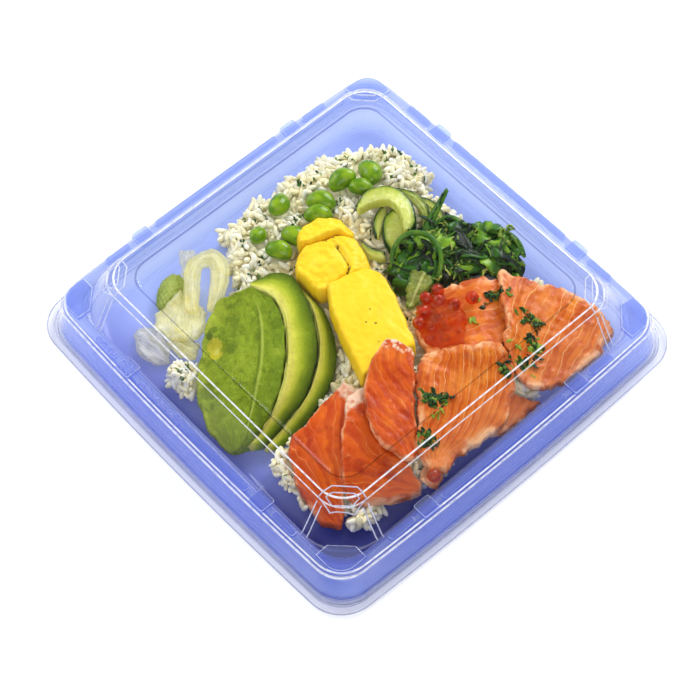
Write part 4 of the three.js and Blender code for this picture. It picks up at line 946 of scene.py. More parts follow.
def build_omelette():
    clean = omelette_material(
        "omelette_clean", rgb(244, 190, 20), 0.3,
        [(7.7, 1.0, 0.2), (14.1, -1.7, 0.3), (11.1, -4.2, 0.3), (21.0, -6.5, 0.1)],
    )
    browned = omelette_material(
        "omelette_browned", rgb(240, 184, 14), 0.3,
        [
            (-24.3, 12.7, 0.3), (-16.0, 10.7, 0.1), (-13.9, 9.4, 0.5), (-12.7, 7.8, 0.5), (-12.5, 5.6, 0.3),
            (-28.9, 14.3, 0.4), (-28.9, 16.5, 0.3), (-29.7, 11.2, 0.2),
        ],
    )

    def smooth_top(s, t, away, x, y):
        return 0.25 * rough(x, y, 9, 3) + 0.22 * rough(x, y, 2.2, 4)

    def lumpy(s, t, away, x, y):
        apart, side = off_line(x, y, OMELETTE_SLIT)
        groove = -2.2 * np.exp(-((apart / 0.5) ** 2))
        lobe = 0.9 * bump_step(apart * side, 0.0, 1.2) * bump_step(apart, 9.0, 3.0)
        roll = 0.14 * np.sin(1.5 * np.hypot(x + 24, y - 3) + 1.2 * rough(x, y, 7, 8))
        return groove + lobe + roll + 0.5 * rough(x, y, 7, 5) + 0.3 * rough(x, y, 1.6, 6)

    def cap(s, t, away, x, y):
        rolled = 0.3 * np.sin(9 * t + 2 * rough(x, y, 6, 17))
        return 0.7 * rough(x, y, 6, 15) + 0.3 * rough(x, y, 1.6, 16) + rolled

    common = {"slot": "omelette", "edge": 2.0, "settle": 3, "square": 3.2}
    for name, material, form, corner, ragged, ragged_size in (
        ("omelette_front", clean, smooth_top, 0.12, 0.7, 7.0),
        ("omelette_middle", browned, lumpy, 0.2, 0.9, 5),
        ("omelette_rear", browned, cap, 0.4, 0.7, 6),
    ):
        slab(
            name, material, **OMELETTE[name], **common, form=form, corner=corner, ragged=ragged,
            ragged_size=ragged_size,
        )


# ---------------------------------------------------------------- avocado


def avocado_material(name, stops, streak_side, spots=(), creased=False):
    """stops run across the slice, from its pit side to its skin side; spots are stains on plan."""
    shade = Shade(name)
    blotches = 1.25 if creased else 0.35
    s, t, _ = shade.rails()
    colour = shade.ramp(shade.plus(t, shade.sway(shade.noise(9, 3), 0.16)), stops)
    bent = shade.plus(t, shade.sway(shade.noise(14, 2), 0.5))
    along = shade.vector(shade.times(s, 3.5), shade.times(bent, 17.0), 0.0)
    streaks = shade.noise(1.0, 4, 0.7, at=along)
    slanting = shade.vector(shade.scaled(s, 8.0, shade.times(t, 9.0)), shade.times(bent, 60.0), 3.0)
    scratches = shade.noise(1.0, 3, 0.6, at=slanting)
    cloudy = shade.noise(8, 6, 0.7)
    mottled = shade.noise(2.4, 5, 0.75, distortion=0.6)
    for field, low, high, share, tint in (
        (streaks, 0.47, 0.68, streak_side, rgb(84, 108, 8)),
        (streaks, 0.42, 0.24, 0.5 * blotches, rgb(196, 212, 84)),
        (scratches, 0.5, 0.66, 0.35 * blotches, rgb(92, 120, 8)),
        (cloudy, 0.5, 0.66, 0.5 * blotches, rgb(96, 122, 10)),
        (cloudy, 0.46, 0.3, 0.4 * blotches, rgb(186, 206, 60)),
        (mottled, 0.52, 0.66, 0.4 * blotches, rgb(88, 116, 8)),
        (mottled, 0.46, 0.32, 0.3 * blotches, rgb(190, 208, 70)),
    ):
        colour = shade.mix(shade.span(field, low, high, 0.0, share), colour, tint)
    fine = shade.noise(0.7, 4, 0.7)
    specks = shade.span(shade.cells(1.6), 0.16, 0.06)
    specks = shade.times(specks, shade.span(shade.noise(7, 2), 0.5, 0.6))
    colour = shade.mix(shade.times(specks, 0.45), colour, rgb(112, 96, 20))
    if creased:
        bow = shade.scaled(shade.calc("SINE", shade.times(s, math.pi)), 0.12, 0.62)
        apart = shade.less(t, bow)
        here = shade.span(s, 0.12, 0.3)
        # Painted light: a pale line along the crease's ridge is painted highlight, and a darker one beside it
        # is painted shade.
        ridge = shade.times(shade.span(shade.abs(apart), 0.026, 0.004), here)
        colour = shade.mix(shade.times(ridge, 0.6), colour, rgb(206, 220, 96))
        crease_shade = shade.times(shade.span(shade.abs(shade.plus(apart, 0.035)), 0.03, 0.0), here)
        colour = shade.mix(shade.times(crease_shade, 0.4), colour, rgb(84, 110, 10))
    for x, y, radius, soft, tint, share in spots:
        colour = shade.mix(shade.times(shade.near(x, y, radius, soft, 0.9), share), colour, tint)
    height = shade.weighted((streaks, 0.7), (fine, 0.7), (scratches, 0.6), (mottled, 1.4))
    roughness = shade.span(fine, 0.3, 0.7, 0.36, 0.54)
    skin = shade.skin(
        colour, roughness, shade.bump(height, 1.0, 0.8), soft=0.08, radius=(0.6, 1.0, 0.1), level=0.2
    )
    return shade.done(skin)


CHEEK = [
    [-34.8, -25.6, 23], [-24, -22.8, 24.5], [-11.3, -27.6, 24.5], [1.4, -38.5, 23.5],
    [8.2, -47.2, 21], [11.8, -54.4, 18], [13.2, -61.2, 14], [13.3, -69.5, 8],
]
SECOND = [
    [-37.5, -22.9, 20], [-34.4, -12.7, 20], [-28.4, -8.4, 19.5], [-13.8, -12.4, 19.5],
    [2, -22.1, 18], [12.6, -36.8, 14.5], [15.7, -50.4, 10.5], [17.3, -64.9, 7],
]
THIRD = [
    [-24.5, -8.2, 16.5], [-15, -8, 15.5], [-8, -8.6, 14.8], [2, -13.1, 13.5],
    [10, -19, 12], [17.3, -31.7, 10.5], [20.4, -44.6, 7.5], [22, -59, 5],
]
OUTER = [
    [-35.8, -26.8, 21], [-39.5, -37.3, 17], [-36.2, -47.3, 14], [-26.9, -58.6, 13],
    [-17.9, -68.4, 10], [-7, -74, 7], [3.4, -75.6, 5], [10, -74.6, 3.8],
]


def beside(rail, offset):
    """A rail set off to the side of another."""
    table = curve_table(rail)
    moved = []
    for i in range(len(rail)):
        k = round(i / (len(rail) - 1) * (len(STEPS) - 1))
        ahead = table[min(k + 1, len(STEPS) - 1)] - table[max(k - 1, 0)]
        side = np.array([ahead[1], -ahead[0]]) / np.hypot(ahead[0], ahead[1]) * offset
        moved.append([table[k][0] - side[0], table[k][1] - side[1], table[k][2]])
    return moved


NOTCH = (-24.6, -52.0)


def build_avocado():
    olive = avocado_material(
        "avocado_cheek",
        [
            (0.0, rgb(188, 202, 66)), (0.2, rgb(150, 174, 30)), (0.5, rgb(164, 186, 36)),
            (0.8, rgb(140, 168, 22)), (1.0, rgb(120, 150, 12)),
        ],
        0.2,
        [
            (-31.8, -47.5, 1.0, 1.6, rgb(86, 116, 8), 0.7), (-30.6, -50.4, 0.9, 1.2, rgb(74, 100, 8), 0.8),
            (-19.4, -48.6, 1.2, 2.4, rgb(92, 118, 10), 0.7),
            (NOTCH[0] + 1.6, NOTCH[1] - 1.6, 2.2, 1.2, rgb(214, 206, 50), 0.9),
            (NOTCH[0] - 1.6, NOTCH[1] + 0.8, 2.2, 1.2, rgb(226, 216, 70), 0.9),
            (NOTCH[0] + 0.3, NOTCH[1] - 0.2, 1.0, 1.0, rgb(236, 230, 110), 0.8),
        ],
        creased=True,
    )
    banded = avocado_material(
        "avocado_banded",
        [
            (0.0, rgb(255, 252, 140)), (0.28, rgb(255, 250, 110)), (0.46, rgb(226, 234, 66)),
            (0.68, rgb(142, 174, 22)), (0.95, rgb(74, 100, 6)),
        ],
        0.12,
    )

    def cheek(s, t, away, x, y):
        apart = t - 0.62 - 0.12 * np.sin(math.pi * s)
        crease = np.exp(-((apart / 0.03) ** 2)) * bump_step(s, 0.15, 0.35)
        second = 0.45 * np.exp(-(((t - 0.42 - 0.25 * s) / 0.02) ** 2)) * bump_step(s, 0.45, 0.6)
        fold = -0.6 * np.exp(-(((s - 0.22 - 0.30 * t) / 0.018) ** 2)) * bump_step(t, 0.5, 0.2)
        cut = -0.9 * np.exp(-(((s - 0.80 + 0.28 * t) / 0.012) ** 2)) * bump_step(t, 0.75, 0.6)
        waves = 0.08 * np.sin(2 * math.pi * (8 * t + 0.6 * rough(x, y, 16, 27)))
        from_notch = np.hypot(x - NOTCH[0], y - NOTCH[1])
        rings = 0.24 * np.sin(from_notch * 1.5 + 2 * rough(x, y, 12, 28)) * bump_step(from_notch, 24, 6)
        hollow = -2.6 * np.exp(-((from_notch / 3.4) ** 4))
        lip = 1.4 * np.exp(-((np.hypot(x - NOTCH[0] + 6, y - NOTCH[1] - 3) / 2.6) ** 2))
        lumps = 0.6 * rough(x, y, 10, 21) + 0.32 * rough(x, y, 2.5, 22) + 0.35 * rough(x, y, 5, 29)
        return crease + second + fold + cut + waves + rings + hollow + lip + lumps

    def wedge(s, t, away, x, y):
        waves = 0.09 * np.sin(2 * math.pi * (5 * t + 0.5 * rough(x, y, 14, 26)))
        tilt = 1.2 * bump_step(t, 0.4, 0.0) - 0.9 * bump_step(t, 0.55, 1.0)
        return tilt + waves + 0.35 * rough(x, y, 8, 23) + 0.16 * rough(x, y, 2, 24)

    common = {"slot": "avocado", "settle": 4, "size": (100, 60)}
    slab(
        "avocado_1", olive, OUTER, CHEEK, **common, corner=0.15, edge=0.7, form=cheek, ragged=1.0,
        ragged_size=5,
    )
    common |= {"corner": 0.12, "edge": 0.5, "form": wedge}
    slab("avocado_2", banded, beside(CHEEK, 0.15), SECOND, **common, ragged=0.3)
    inner = [[-24, -10.2, 19.3], *SECOND[3:]]
    slab("avocado_3", banded, beside(inner, 0.15), THIRD, **common, ragged=0.4)


# ---------------------------------------------------------------- salmon


def salmon_material(name, flesh, fat, slant, spacing, width, strength, gloss, pale_end=0.0, rim=1.6):
    """
    Flesh with lines of fat. slant is the share of the places along, across, and across squared that the
    lines follow; spacing is the number of flakes over the slice. pale_end is how far along its start is
    whitish, and rim how deep its pale edge goes, in millimetres.
    """
    shade = Shade(name)
    s, t, away = shade.rails()
    wander = shade.less(shade.noise(14, 3, 0.5), 0.5)
    ripple = shade.less(shade.noise(3.2, 3, 0.5), 0.5)
    run = shade.weighted((s, slant[0]), (t, slant[1]), (shade.times(t, t), slant[2]))
    run = shade.weighted((run, spacing), (wander, 1.5), (ripple, 0.2))
    flake = shade.calc("FRACT", run)
    whole = {"W": shade.calc("FLOOR", run)}
    chance = shade.node("ShaderNodeTexWhiteNoise", whole, noise_dimensions="1D").outputs[0]
    middle = shade.abs(shade.less(flake, 0.5))
    fine = shade.noise(0.6, 4, 0.7)
    patchy = shade.noise(9, 4, 0.65)
    thin = shade.span(shade.noise(6, 2), 0.36, 0.62, 0.5, 1.0)
    line = shade.span(middle, shade.times(thin, width), 0.0)
    broken = shade.span(shade.noise(9, 2), 0.34, 0.5, 0.35, 1.0)
    line = shade.times(line, shade.times(shade.span(chance, 0.0, 1.0, 0.45, 1.0), broken))
    halfway = shade.scaled(run, 2.0, shade.scaled(wander, 2.0, 0.3))
    halfway = shade.abs(shade.less(shade.calc("FRACT", halfway), 0.5))
    faint = shade.times(shade.span(halfway, 0.07, 0.0), 0.12 * strength)
    colour = shade.ramp(patchy, [(0.3, flesh[0]), (0.5, flesh[1]), (0.68, flesh[2])])
    colour = shade.mix(shade.span(flake, 0.5, 0.8, 0.0, 0.4), colour, flesh[0])
    colour = shade.mix(shade.span(flake, 0.5, 0.2, 0.0, 0.25), colour, flesh[2])
    colour = shade.mix(faint, colour, fat)
    fibres = shade.vector(shade.times(run, 1.2), shade.times(t, 30.0), 0.0)
    grain = shade.noise(1.0, 3, 0.6, at=fibres)
    colour = shade.mix(shade.span(grain, 0.5, 0.7, 0.0, 0.08), colour, fat)
    colour = shade.mix(shade.span(fine, 0.5, 0.3, 0.0, 0.5), colour, flesh[0])
    bloom = shade.span(shade.noise(16, 3, 0.6), 0.5, 0.64, 0.0, 0.32 if rim > 2 else 0.12)
    colour = shade.mix(bloom, colour, rgb(248, 158, 66))
    colour = shade.mix(shade.times(line, strength), colour, fat)
    pale_edge = shade.times(shade.span(away, rim, 0.1), shade.span(patchy, 0.45, 0.6, 0.05, 0.8))
    colour = shade.mix(pale_edge, colour, shade.mix(0.4, fat, rgb(255, 222, 188)))
    if pale_end:
        end = shade.plus(s, shade.times(ripple, 0.3))
        colour = shade.mix(shade.span(end, pale_end, pale_end * 0.3, 0.0, 0.9), colour, rgb(246, 218, 186))
    height = shade.weighted((fine, 0.6), (line, 0.5), (grain, 0.3))
    roughness = shade.span(patchy, 0.35, 0.65, gloss, gloss + 0.14)
    skin = shade.skin(
        colour, roughness, shade.bump(height, 0.7, 0.4), soft=0.06, radius=(0.8, 0.35, 0.1), depth=0.8,
        coat=0.1, level=0.16,
    )
    return shade.done(skin)


FRONT_SALMON = [
    {
        "left": [
            [21, -25, 18], [22.3, -34, 17], [24.6, -47, 16], [25.8, -57.8, 14.5],
            [36, -65, 12.5], [48, -69, 9], [58, -70, 5],
        ],
        "right": [
            [29, -24, 19], [34.4, -33, 18.5], [45.7, -47, 17.5],
            [55.9, -56.5, 14], [61.5, -61.5, 9], [64, -65.5, 5],
        ],
    },
    {
        "left": [
            [30, -31.8, 20.5], [38.7, -41.7, 20], [47.7, -50.5, 19], [54.8, -56.5, 16],
            [61, -57.5, 12], [68.6, -48, 9.5], [73.6, -39.5, 9],
        ],
        "right": [
            [31, -21.5, 20], [49.2, -28, 20.5], [60.9, -31.5, 18.5],
            [68, -31.5, 14.5], [73.5, -31.8, 10], [75, -34, 9],
        ],
    },
    {
        "left": [
            [22.9, -4.7, 27.5], [27.4, -17, 27], [34, -26, 25],
            [42.7, -33, 24], [52.4, -36, 22], [64.5, -34, 18.5],
        ],
        "right": [
            [33.7, 0.5, 27.5], [40.5, -5.5, 26], [46.8, -11, 24.5],
            [53, -16.5, 23], [59.2, -21.8, 21.5], [67.5, -31, 18],
        ],
    },
]
RIGHT_SALMON = [
    {
        "left": [[65.1, 20.1, 13], [73.4, 25.9, 10], [76.5, 27.8, 9]],
        "right": [[76, 2.5, 9], [78, 12, 8], [77.5, 21.5, 8]],
    },
    {
        "left": [[24, 10.5, 18.5], [16.8, 27.3, 19.5], [21.7, 43.3, 20], [28, 51, 19.5], [35.8, 51.1, 18.5]],
        "right": [[35.5, 4.5, 19], [41.5, 11.5, 21], [49.6, 21, 21.5], [53.2, 28.4, 20.5], [51.5, 37.3, 19]],
    },
    {
        "left": [[26.5, 53.3, 18.5], [35.7, 58.9, 18], [47.1, 67.9, 16.5], [61, 73.5, 13], [70.5, 75.5, 9]],
        "right": [
            [53.8, 30.5, 19.5], [61.6, 26.4, 17], [70.1, 27, 12.5], [76.1, 32.5, 10],
            [78.3, 46, 9], [78, 60.5, 8], [74, 70, 8],
        ],
    },
    {
        "left": [[69.5, -26, 13], [71, -30.5, 11], [74.6, -32.5, 8.5]],
        "right": [[74, -20.5, 12], [76.8, -25, 10], [77, -29.5, 8]],
    },
    {
        "left": [
            [35.2, 2.9, 21.5], [42.3, -6.3, 21.5], [51.5, -15.2, 20.5], [62, -24.6, 18.5],
            [68.5, -27.8, 15.5], [73.5, -27.6, 12.5],
        ],
        "right": [
            [53.7, 30.4, 21.5], [61.2, 27.2, 20.5], [68, 22.5, 17], [74.5, 13.5, 13.5],
            [76.6, 1.5, 11], [75.6, -8, 11.5], [74.8, -15, 12], [76.6, -22.5, 10.5],
        ],
    },
]


def build_salmon():
    deep = (rgb(170, 42, 0), rgb(210, 78, 0), rgb(230, 108, 6))
    pale = (rgb(184, 68, 0), rgb(212, 98, 4), rgb(236, 138, 36))
    fat_deep, fat_pale = rgb(250, 166, 90), rgb(255, 198, 132)
    front_slants = [(1.0, -0.12, -0.34), (1.0, -0.10, -0.42), (1.0, -0.62, 0.0)]
    front_ends = [0.16, 0.12, 0.05]
    for i, rails in enumerate(FRONT_SALMON):
        material = salmon_material(
            f"salmon_deep_{i + 1}", deep, fat_deep, front_slants[i], 5.0, 0.04, 0.85, 0.24, front_ends[i]
        )

        def form(s, t, away, x, y, i=i):
            slant = front_slants[i]
            flakes = np.sin(2 * math.pi * 5.0 * (slant[0] * s + slant[1] * t + slant[2] * t * t))
            return 0.05 * flakes + 0.35 * rough(x, y, 12, 31 + i) + 0.22 * rough(x, y, 2.5, 41 + i)

        slab(
            f"salmon_front_{i + 1}", material, **rails, slot="dark_salmon", edge=1.0, square=2.0,
            form=form, ragged=1.0, ragged_size=6, seed=50 + i, size=(84, 56),
        )
    right_slants = [(1.0, 0.1, 0.0), (0.25, 1.0, 0.2), (1.0, 0.15, 0.1), (0.4, 1.0, 0.0), (0.18, 1.0, 0.15)]
    counts = [5.0, 4.0, 10.0, 3.0, 10.0]
    strengths = [0.8, 0.5, 0.95, 0.7, 1.0]
    for i, rails in enumerate(RIGHT_SALMON):
        material = salmon_material(
            f"salmon_pale_{i + 1}", pale, fat_pale, right_slants[i], counts[i], 0.065, strengths[i], 0.24,
            rim=4.0,
        )

        def form(s, t, away, x, y, i=i):
            slant = right_slants[i]
            flakes = np.sin(2 * math.pi * counts[i] * (slant[0] * s + slant[1] * t + slant[2] * t * t))
            return 0.08 * flakes + 0.4 * rough(x, y, 11, 61 + i) + 0.25 * rough(x, y, 2.5, 71 + i)

        slab(
            f"salmon_right_{i + 1}", material, **rails, slot="salmon", edge=1.0, square=2.0,
            form=form, ragged=2.0, ragged_size=6, seed=80 + i, size=(100, 78) if i in (1, 2, 4) else (44, 34),
        )


# ---------------------------------------------------------------- cucumber, beans


def cucumber_material(name, layers):
    """Wet flesh with dark peel along its outer rail, for a stack of some layers of thin slices."""
    shade = Shade(name)
    s, t, away = shade.rails()
    stack = shade.calc("FRACT", shade.times(t, float(layers)))
    inward = shade.span(t, 0.62, 0.4)
    cloudy = shade.noise(4, 4, 0.6)
    fresh = shade.ramp(stack, [
        (0.0, rgb(134, 156, 32)), (0.3, rgb(184, 198, 70)),
        (0.6, rgb(220, 226, 122)), (1.0, rgb(188, 200, 82)),
    ])
    colour = shade.mix(shade.span(cloudy, 0.48, 0.66, 0.0, 0.45), fresh, rgb(226, 232, 156))
    fibres = shade.vector(shade.times(s, 34.0), shade.times(t, 3.0), 0.0)
    fibre = shade.noise(1.0, 3, 0.6, at=fibres)
    colour = shade.mix(shade.span(fibre, 0.5, 0.7, 0.0, 0.4), colour, rgb(128, 152, 36))
    near_peel = shade.times(shade.span(away, 2.4, 0.9), inward)
    colour = shade.mix(shade.times(near_peel, 0.7), colour, rgb(104, 136, 22))
    peel = shade.times(shade.span(away, 1.15, 0.75), inward)
    if layers > 1:
        peel = shade.calc("MAXIMUM", peel, shade.span(stack, 0.16, 0.07))
    colour = shade.mix(peel, colour, rgb(20, 58, 12))
    fine = shade.noise(0.8, 3, 0.6)
    height = shade.weighted((fine, 0.8), (fibre, 0.6))
    skin = shade.skin(
        colour, 0.24, shade.bump(height, 0.45, 0.35), soft=0.25, radius=(0.8, 1.0, 0.3), depth=1.5, coat=0.3
    )
    return shade.done(skin)


CUCUMBER = [
    {
        "left": [[-27, 57.5, 12.5], [-21.8, 61, 13.5], [-15.2, 61.5, 13.5], [-8, 58.8, 12]],
        "right": [[-21.5, 53.8, 14], [-15.6, 52.8, 14], [-10.4, 51, 13.5], [-7.4, 53.2, 12.5]],
    },
    {
        "left": [[-26, 27.1, 13], [-20, 27.3, 13], [-15, 30.5, 13]],
        "right": [[-24.2, 24.5, 12], [-17.1, 23.5, 12], [-11.7, 27.4, 11.5]],
    },
    {
        "left": [[-32.2, 42.7, 15], [-28.5, 35.3, 15], [-22.8, 31, 14]],
        "right": [[-28, 44.2, 15.5], [-24, 38, 15.5], [-20.8, 32.3, 14]],
    },
    {
        "left": [[-26.5, 43.5, 17], [-24.2, 37.2, 16.5], [-18.4, 32, 15], [-12.5, 30, 13.5]],
        "right": [[-21, 46, 18], [-14.8, 42.5, 17.5], [-11.6, 37.5, 15.5], [-10.6, 32, 13.5]],
    },
    {
        "left": [
            [-35.1, 53.2, 16], [-27.6, 57.2, 17.5], [-20.6, 57.4, 18], [-14.1, 54.6, 17.5], [-10.4, 50, 16],
        ],
        "right": [
            [-31, 52.2, 16], [-24.5, 52.9, 17.5], [-18.7, 52.3, 18], [-14.3, 50.3, 17.5], [-12.4, 47.6, 16],
        ],
    },
    {
        "left": [
            [-38.2, 33.8, 17.5], [-38.9, 39.6, 20], [-36.6, 45.8, 21.5], [-31.6, 50.2, 22],
            [-24.5, 51, 22], [-17.4, 48.8, 21.5], [-12, 44.4, 20.5], [-9.6, 40, 19.5],
        ],
        "right": [
            [-34, 33, 17.5], [-32.8, 37.4, 19.5], [-30, 40.8, 21], [-26, 42.8, 22],
            [-21, 42.6, 22], [-17, 40.9, 21.5], [-14.4, 39.2, 20.5], [-13, 37.8, 19.5],
        ],
    },
]

CUCUMBER_LAYERS = [3, 1, 1, 1, 3, 1]
BEANS = [
    {"at": (-52, 39.5, 16.5), "heading": 75, "pitch": 20, "scale": 1},
    {"at": (-46.5, 51, 16), "heading": -20, "pitch": 10, "scale": 1.05},
    {"at": (-43.4, 42.6, 17), "heading": 40, "pitch": 0, "scale": 0.85},
    {"at": (-50, 26.5, 15.5), "heading": 35, "pitch": 5, "scale": 1},
    {"at": (-45, 20.5, 17), "heading": 45, "pitch": 0, "scale": 0.95},
    {"at": (-60, 12.5, 15.5), "heading": -60, "pitch": 15, "scale": 0.95},
    {"at": (-54.5, -4, 15.5), "heading": -50, "pitch": 30, "scale": 0.8},
    {"at": (-44, 7, 15.5), "heading": 20, "pitch": 0, "scale": 0.95},
    {"at": (-43, -2.5, 16), "heading": 30, "pitch": 0, "scale": 0.92},
]


def ball(across, up):
    """The corners and faces of a unit sphere with its poles on the X axis."""
    corners = [(1.0, 0.0, 0.0)]
    for i in range(1, up):
        tilt = math.pi * i / up
        for j in range(across):
            turn = 2 * math.pi * j / across
            corners.append((math.cos(tilt), math.sin(tilt) * math.cos(turn), math.sin(tilt) * math.sin(turn)))
    corners.append((-1.0, 0.0, 0.0))
    faces = [[0, 1 + j, 1 + (j + 1) % across] for j in range(across)]
    for i in range(up - 2):
        a = 1 + i * across
        b = a + across
        faces += [[a + j, b + j, b + (j + 1) % across, a + (j + 1) % across] for j in range(across)]
    last, end = 1 + (up - 2) * across, len(corners) - 1
    faces += [[end, last + (j + 1) % across, last + j] for j in range(across)]
    return np.array(corners), turned_out(corners, faces)


def spin(degrees, axis):
    return np.array(Matrix.Rotation(math.radians(degrees), 3, axis))


def bean_material():
    shade = Shade("bean")
    tone = shade.mark()
    cloudy = shade.noise(4, 3, 0.5)
    colour = shade.mix(shade.span(cloudy, 0.3, 0.7), rgb(88, 134, 0), rgb(140, 176, 14))
    colour = shade.mix(shade.times(tone, 0.8), colour, rgb(56, 98, 2))
    fine = shade.noise(0.9, 3, 0.5)
    skin = shade.skin(
        colour, shade.span(cloudy, 0.3, 0.7, 0.22, 0.34), shade.bump(fine, 0.2, 0.25),
        soft=0.15, radius=(0.5, 1.0, 0.1), depth=1.2, coat=0.2,
    )
    return shade.done(skin)


def build_cucumber_and_beans():
    single, stacked = cucumber_material("cucumber", 1), cucumber_material("cucumber_stack", 3)
    for i, rails in enumerate(CUCUMBER):
        arc = i == len(CUCUMBER) - 1
        layers = CUCUMBER_LAYERS[i]

        def form(s, t, away, x, y, layers=layers):
            steps = -0.9 * np.mod(t * layers, 1.0) if layers > 1 else 0.3 * np.sin(math.pi * t)
            return steps + 0.2 * rough(x, y, 4, 91) + 0.1 * rough(x, y, 1.5, 92)

        slab(
            f"cucumber_{i + 1}", single if layers == 1 else stacked, **rails, slot="cucumber", corner=0.45,
            edge=0.9, form=form, ragged=0.4, size=(96, 40) if arc else (60, 44), seed=100 + i,
        )
    unit, faces = ball(32, 26)
    material = bean_material()
    for i, bean in enumerate(BEANS):
        shape = unit.copy()
        seam = np.exp(-((shape[:, 2] / 0.07) ** 2)) * bump_step(-shape[:, 1], -0.2, 0.5)
        shape *= (1 - 0.05 * seam)[:, None]
        wobble = 1 + 0.03 * rough(shape[:, 0] * 4, shape[:, 1] * 4, 2.5, i, z=shape[:, 2] * 4)
        shape = shape * wobble[:, None] * np.array(BEAN_SIZE) * 0.5 * bean["scale"]
        end = 2 * shape[:, 0] / BEAN_SIZE[0]
        shape[:, 1] -= 1.2 * end**2
        shape = shape @ spin(-bean["pitch"], "Y").T @ spin(bean["heading"], "Z").T + np.array(bean["at"])
        dark = np.clip(seam * 0.9, 0, 1)
        make_piece(f"bean_{i + 1}_skin", shape, faces, material, [f"bean_{i + 1}"], {"mark": dark})


# ---------------------------------------------------------------- ribbons, seaweed, leaf, herbs


def ribbon(points, width, thickness, turn):
    """A flat strand with rounded edges along points; turn gives its roll along it, in radians."""
    p = np.asarray(points, float)
    count = len(p)
    way = np.gradient(p, axis=0)
    way /= np.maximum(np.linalg.norm(way, axis=1), 1e-6)[:, None]
    side = np.cross(way, (0, 0, 1))
    side /= np.maximum(np.linalg.norm(side, axis=1), 1e-3)[:, None]
    out = np.cross(side, way)
    roll = np.broadcast_to(np.asarray(turn, float), (count,))
    along = np.linspace(0, 1, count)
    taper = np.sqrt(np.clip(1 - (2 * along - 1) ** 6, 0.05, 1))
    a = np.cos(roll)[:, None] * side + np.sin(roll)[:, None] * out
    b = -np.sin(roll)[:, None] * side + np.cos(roll)[:, None] * out
    width = np.broadcast_to(np.asarray(width, float), (count,)) * taper
    section = [(0.5, 0.0), (0.25, 0.5), (-0.25, 0.5), (-0.5, 0.0), (-0.25, -0.5), (0.25, -0.5)]
    rings = [p + a * (u * width)[:, None] + b * (v * thickness) for u, v in section]
    corners = np.stack(rings, 1).reshape(-1, 3)
    return corners, turned_out(corners, tube_faces(count))


def walk(start, headings, length, steps=1):
    """Points of a turning line on plan, each length / steps from the one before."""
    return start + np.cumsum(np.stack([np.cos(headings), np.sin(headings)], -1) * length / steps, 0)


STRAND_COUNT, STRAND_TRIES = 150, 900
FRILL_PLACES = 28
SEAWEED_ARCS = [
    {"points": [[-14.5, 64, 24.5], [-11.5, 55.5, 22], [-8.8, 48, 19.5], [-6, 41, 15]], "width": 4},
    {
        "points": [
            [-5.1, 24, 15], [-9.6, 30, 21], [-9.4, 37, 24], [-4.2, 41.8, 25], [3, 42, 24.5],
            [9, 38.6, 22], [12, 33, 16],
        ],
        "width": 2.4,
    },
    {"points": [[-9, 50, 17], [-6, 58, 18.5], [1, 61, 18]], "width": 3},
    {"points": [[3, 60, 17], [10.5, 67, 18.5], [19, 70.5, 18], [26, 69.5, 13]], "width": 4},
    {"points": [[12, 70, 19], [18, 64, 20], [20.5, 56, 17]], "width": 3.5},
    {"points": [[-8, 30, 13], [-2, 30, 16], [2, 24, 14]], "width": 3},
    {"points": [[0, 50, 17], [6, 54, 20], [12, 50, 19], [14, 43, 17]], "width": 2.6},
    {"points": [[4, 44, 17], [10, 47, 20.5], [17, 53, 19], [22, 61, 15]], "width": 2.6},
    {"points": [[-6, 46, 17], [0, 45, 19.5], [3, 38, 18], [1, 31, 14]], "width": 3},
    {"points": [[8, 62, 17], [14, 58, 20], [22, 60, 18], [29, 64, 13]], "width": 3.4},
]


def leafy_material(name, dark, mid, bright, soft=0.15, gloss=0.22, coat=0.2):
    """Green leaf or seaweed: mark runs from dark strands at 0 to bright ones at 1."""
    shade = Shade(name)
    tone = shade.mark()
    cloudy = shade.noise(5, 4, 0.65)
    fine = shade.noise(0.6, 4, 0.65)
    blend = shade.plus(tone, shade.sway(cloudy, 0.7), clamp=True)
    colour = shade.ramp(blend, [(0.1, dark), (0.5, mid), (0.95, bright)])
    colour = shade.mix(shade.span(fine, 0.55, 0.8, 0.0, 0.35), colour, dark)
    roughness = shade.span(fine, 0.3, 0.7, gloss, gloss + 0.16)
    skin = shade.skin(
        colour, roughness, shade.bump(fine, 0.5, 0.3), soft=soft, radius=(0.4, 1.0, 0.2), depth=0.8, coat=coat
    )
    return shade.done(skin)


def remeshed(mesh, voxel, passes):
    """Corners, faces and normals of one closed skin around all of a mesh, evened out; the mesh is used up."""
    helper = bpy.data.objects.new("helper", mesh)
    bpy.context.scene.collection.objects.link(helper)
    remesh = helper.modifiers.new("remesh", "REMESH")
    remesh.mode = "VOXEL"
    remesh.voxel_size = voxel * MM
    even = helper.modifiers.new("even", "SMOOTH")
    even.iterations = passes
    fine = bpy.data.meshes.new_from_object(helper.evaluated_get(bpy.context.evaluated_depsgraph_get()))
    bpy.data.objects.remove(helper)
    bpy.data.meshes.remove(mesh)
    count = len(fine.vertices)
    place, normal = np.empty(count * 3), np.empty(count * 3)
    fine.vertices.foreach_get("co", place)
    fine.vertices.foreach_get("normal", normal)
    faces = [list(p.vertices) for p in fine.polygons]
    bpy.data.meshes.remove(fine)
    return place.reshape(-1, 3) / MM, faces, normal.reshape(-1, 3)


def soft_core(node, voxel, shrink, unevenness, seed):
    """A refined copy of a CAD heap, drawn in a little, that carries the small things laid over it."""
    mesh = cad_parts[node].data.copy()
    mesh.materials.clear()
    place, faces, normal = remeshed(mesh, voxel, 4)
    bumps = rough(place[:, 0], place[:, 1], unevenness[1], seed, z=place[:, 2])
    place = place + normal * (unevenness[0] * bumps - shrink)[:, None]
    place[:, 2] = np.maximum(place[:, 2], FLOOR_Z + 0.2)
    return place, faces


